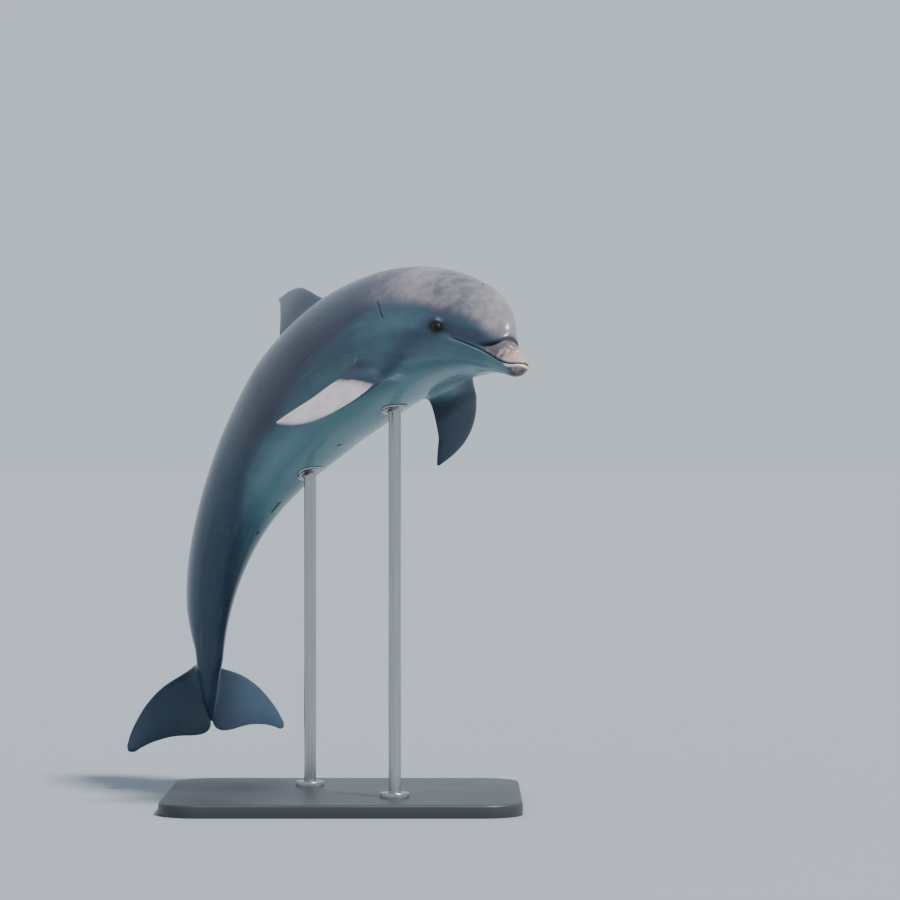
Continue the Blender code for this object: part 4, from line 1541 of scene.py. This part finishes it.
def eyeball(name):
    middle, ahead, above, out = eye_frame(name)
    ball = bmesh.new()
    bmesh.ops.create_uvsphere(ball, u_segments=64, v_segments=48, radius=EYE_RADIUS)
    across, along = ball.verts.layers.float.new("across"), ball.verts.layers.float.new("along")
    for v in ball.verts:
        v[across], v[along] = v.co.x / EYE_RADIUS, v.co.y / EYE_RADIUS
        if v.co.z < 0:
            v[across] = v[along] = BEHIND
        polar = v.co.angle(Vector((0, 0, 1)), 0.0)
        v.co *= 1 + CORNEA_BULGE * max(0.0, math.cos(min(polar / CORNEA, 1) * math.pi / 2)) ** 2
    turn = Matrix((ahead, above, out)).transposed()
    if turn.determinant() < 0:
        turn = Matrix((-Vector(ahead), Vector(above), Vector(out))).transposed()
    bmesh.ops.transform(ball, matrix=turn.to_4x4(), verts=ball.verts)
    bmesh.ops.translate(ball, vec=Vector(middle - out * (EYE_RADIUS - EYE_PROUD)), verts=ball.verts)
    bmesh.ops.recalc_face_normals(ball, faces=ball.faces)
    return ball


eye_finish, eye_shader, place = finish("wet_eye", IOR=1.30)
across, along = attribute(place, "across"), attribute(place, "along")


def round_share(across, along, wide, high):
    """1 on the rim of an oval of this size round the pole."""
    squares = [(axis * (1 / half)).math("POWER", 2.0) for axis, half in ((across, wide), (along, high))]
    return (squares[0] + squares[1]).math("POWER", 0.5)


fibres = noise(place, 700.0, detail=3.0)
iris_colour = fibres.mix(opaque(20, 13, 10), opaque(46, 31, 21))
white_colour = fibres.mix(opaque(12, 11, 13), opaque(22, 20, 22))
iris_share = round_share(across, along, 0.66, 0.58).between(1.08, 0.92)
pupil_share = round_share(across, along + 0.04, 0.46, 0.36).between(1.10, 0.90)
eye_colour = iris_share.mix(white_colour, iris_colour)
eye_colour = pupil_share.mix(eye_colour, opaque(7, 7, 9))
paint(eye_shader, Base_Color=eye_colour, Roughness=0.05 + fibres * 0.05)
for name in eye_middle:
    piece = to_object(name.replace("eye", "eyeball"), eyeball(name), eye_finish)
    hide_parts(name)
print("eyes: balls of", EYE_RADIUS * 2000, "mm")

# %% [markdown]
# ## The stand
#
# The base is a thick plate with a satin, slightly rough paint, as museums use, so that it doesn't draw
# the eye. The rods and collars are brushed steel. The solids of the stand have few faces, so each part
# is turned or bevelled again with many, in the same place and size.

# %% Stand finishes
base_finish, base_shader, place = finish("satin_base", Coat_Weight=0.0)
dust = noise(place, 3.0, detail=4.0)
stipple = noise(place, 900.0, detail=2.0)
base_colour = (dust * 0.6 + stipple * 0.4).mix(opaque(38, 40, 44), opaque(56, 58, 62))
paint(
    base_shader,
    Base_Color=base_colour,
    Roughness=0.42 + (dust - 0.5) * 0.2,
    Normal=bumped(stipple, 0.0004, 0.5),
)

steel_finish, steel_shader, place = finish("brushed_steel", Metallic=1.0)
brushed = noise(place, 260.0, detail=3.0, stretch=(1.0, 1.0, 0.02))
smudge = noise(place, 7.0, detail=2.0)
steel_colour = brushed.mix(opaque(150, 152, 155), opaque(196, 198, 200))
paint(
    steel_shader,
    Base_Color=steel_colour,
    Roughness=0.24 + (brushed - 0.5) * 0.14 + (smudge - 0.5) * 0.12,
    Normal=bumped(brushed, 0.0003, 0.3),
)
print("stand finishes ready")

# %% [markdown]
# The base starts as a cube stretched to the solid's box. Its four upright edges are bevelled wide, which
# rounds the corners, and then the rims a little, so that they catch the light.

# %% Stand base
BASE_CORNER, BASE_RIM, BASE_FOOT = 0.12, 0.008, 0.002
low, high = (Vector(corner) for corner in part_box("stand_base"))
plate_mesh = bmesh.new()
bmesh.ops.create_cube(plate_mesh, size=1.0)
bmesh.ops.scale(plate_mesh, vec=high - low, verts=plate_mesh.verts)
bmesh.ops.translate(plate_mesh, vec=(low + high) / 2, verts=plate_mesh.verts)
rounded = {"affect": "EDGES", "profile": 0.5, "material": -1}
upright = [e for e in plate_mesh.edges if abs(e.verts[0].co.z - e.verts[1].co.z) > 0.01]
bmesh.ops.bevel(plate_mesh, geom=upright, offset=BASE_CORNER, segments=28, **rounded)
top = max(plate_mesh.faces, key=lambda face: face.calc_center_median().z)
bottom = min(plate_mesh.faces, key=lambda face: face.calc_center_median().z)
for face, rim, steps in ((top, BASE_RIM, 5), (bottom, BASE_FOOT, 2)):
    bmesh.ops.bevel(plate_mesh, geom=list(face.edges), offset=rim, segments=steps, **rounded)
base_piece = to_object("stand_plate", plate_mesh, base_finish)
base_piece.data.set_sharp_from_angle(angle=math.radians(30))
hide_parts("stand_base")
print("plate", [round(side, 3) for side in high - low], "m")

# %% [markdown]
# Rods, collars and seats are round, so each is an outline spun once about an upright line. Where a rod
# meets the belly a thin steel seat hugs the skin. Its outline is spun flat first, with heights as shares
# of its thickness, and then every corner is hung under the skin that lies straight above it.

# %% Rods, collars and seats
ROD_RADIUS, COLLAR_RADIUS, COLLAR_HEIGHT, COLLAR_EDGE = 0.019, 0.045, 0.016, 0.004
COLLAR_STEPS = 5
SEAT_RADIUS, SEAT_THICK = 0.040, 0.007
SEAT_OUTLINE = (  # radius, and depth under the skin as a share of the thickness
    (ROD_RADIUS + 0.0005, 0.0),
    (SEAT_RADIUS - 0.002, 0.0),
    (SEAT_RADIUS, 0.2),
    (SEAT_RADIUS, 0.5),
    (SEAT_RADIUS - 0.003, 0.85),
    (SEAT_RADIUS - 0.008, 1.0),
    (ROD_RADIUS + 0.005, 1.1),
    (ROD_RADIUS + 0.0005, 1.9),
)

skin_tree = BVHTree.FromPolygons(spots.tolist(), [list(face.vertices) for face in skin_piece.data.polygons])


def skin_above(place, start):
    """The height at which a line upwards through this place, from the height start, meets the skin."""
    hit = skin_tree.ray_cast(Vector((place.x, place.y, start)), Vector((0, 0, 1)))[0]
    return hit.z if hit else None


def turned_ring(bm, outline, middle, steps=72):
    """Spins an outline of (radius, height) pairs once round the upright line through middle."""
    line = [bm.verts.new((middle.x + radius, middle.y, height)) for radius, height in outline]
    edges = [bm.edges.new((a, b)) for a, b in zip(line, line[1:])]
    bmesh.ops.spin(
        bm,
        geom=line + edges,
        cent=(middle.x, middle.y, 0),
        axis=(0, 0, 1),
        angle=2 * math.pi,
        steps=steps,
        use_merge=True,
    )
    bmesh.ops.remove_doubles(bm, verts=bm.verts, dist=1e-5)
    bmesh.ops.recalc_face_normals(bm, faces=bm.faces)


def steel_piece(name, bm, sharp):
    piece = to_object(name, bm, steel_finish)
    piece.data.set_sharp_from_angle(angle=math.radians(sharp))
    return piece


for end in ("front", "rear"):
    low, high = (Vector(corner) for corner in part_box(f"stand_rod_{end}"))
    middle = (low + high) / 2
    start = low.z + 0.3
    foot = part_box(f"stand_collar_{end}")[0][2]
    shoulder = foot + COLLAR_HEIGHT

    collar = bmesh.new()
    outline = [(0.0, foot), (COLLAR_RADIUS, foot)]
    for k in range(COLLAR_STEPS + 1):
        turn = k / COLLAR_STEPS * math.pi / 2
        radius = COLLAR_RADIUS - COLLAR_EDGE * (1 - math.cos(turn))
        outline.append((radius, shoulder - COLLAR_EDGE * (1 - math.sin(turn))))
    bed = shoulder - 0.0015
    outline += [(ROD_RADIUS + 0.003, shoulder), (ROD_RADIUS + 0.001, bed), (0.0, bed)]
    turned_ring(collar, outline, middle)
    piece = steel_piece(f"collar_{end}", collar, 40)
    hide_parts(f"stand_collar_{end}")

    # The rod's upper end and the seat are hung under the skin, corner by corner.
    rod = bmesh.new()
    foot = shoulder - 0.001
    turned_ring(rod, [(0.0, foot), (ROD_RADIUS, foot), (ROD_RADIUS, high.z), (0.0, high.z)], middle)
    for v in rod.verts:
        if v.co.z > high.z - 0.001:
            v.co.z = (skin_above(v.co, start) or high.z) - 0.0004
    piece = steel_piece(f"rod_{end}", rod, 40)
    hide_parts(f"stand_rod_{end}")

    seat = bmesh.new()
    turned_ring(seat, SEAT_OUTLINE + SEAT_OUTLINE[:1], middle)
    for v in seat.verts:
        v.co.z = skin_above(v.co, start) - 0.0002 - SEAT_THICK * v.co.z
    bmesh.ops.recalc_face_normals(seat, faces=seat.faces)
    steel_piece(f"seat_{end}", seat, 50)
    print(end, "rod", round(high.z - low.z, 3), "m long")

# %% [markdown]
# ## The floor and the light
#
# A very wide pale floor and a pale world give soft daylight from all round. One sun lamp with a wide
# disc stands high, a little in front and to the right, so the brow and the back are bright and the
# belly lies in soft shade. It lights the floor evenly as far as the eye sees, where a lamp close by
# would leave a round pool. The floor's colour is worked out from both lights, so that it looks neutral.

# %% Room
floor_mesh = bmesh.new()
bmesh.ops.create_grid(floor_mesh, x_segments=1, y_segments=1, size=150)
floor_data = bpy.data.meshes.new("floor")
floor_mesh.to_mesh(floor_data)
floor_mesh.free()
floor = bpy.data.objects.new("floor", floor_data)
bpy.context.scene.collection.objects.link(floor)
floor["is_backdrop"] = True
WORLD_LIGHT = (0.62, 0.70, 0.80)
SUN_TOWARD, SUN_LIGHT, SUN_COLOUR = (0.60, -0.54, 1.25), 6.0, (1.0, 0.965, 0.93)
SUN_DISC = 9
FLOOR_PALE = 0.965  # how much of the room's own light the floor sends back where the sun shines too
sun_on_floor = SUN_LIGHT * Vector(SUN_TOWARD).normalized().z / math.pi
both_lights = zip(WORLD_LIGHT, SUN_COLOUR)
floor_colour = [FLOOR_PALE * sky / (sky + sun_on_floor * tint) for sky, tint in both_lights]
floor_finish = finish("pale_floor", Base_Color=(*floor_colour, 1), Roughness=0.8)[0]
floor_data.materials.append(floor_finish)

world = bpy.data.worlds.new("pale room")
bpy.context.scene.world = world
world.use_nodes = True
world.node_tree.nodes["Background"].inputs["Color"].default_value = (*WORLD_LIGHT, 1)
world.node_tree.nodes["Background"].inputs["Strength"].default_value = 1.0


def sun(name, toward, strength, disc, colour):
    """A lamp infinitely far away. toward is the direction from the animal to it."""
    lamp = bpy.data.lights.new(name, "SUN")
    lamp.energy, lamp.angle, lamp.color = strength, math.radians(disc), colour
    holder = bpy.data.objects.new(name, lamp)
    bpy.context.scene.collection.objects.link(holder)
    holder.rotation_euler = Vector(toward).to_track_quat("Z", "Y").to_euler()


sun("sun_high", SUN_TOWARD, SUN_LIGHT, SUN_DISC, SUN_COLOUR)
print("floor and sun in place")

# %% [markdown]
# ## Size
#
# The box round the dressed model is set against the solids' box, and how far each corner moved is printed.

# %% Sizes
dressed_low, dressed_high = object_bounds()
for solid, dressed in ((solid_low, dressed_low), (solid_high, dressed_high)):
    print("the corner moved by", [round((b - a) * 1000, 1) for a, b in zip(solid, dressed)], "mm")
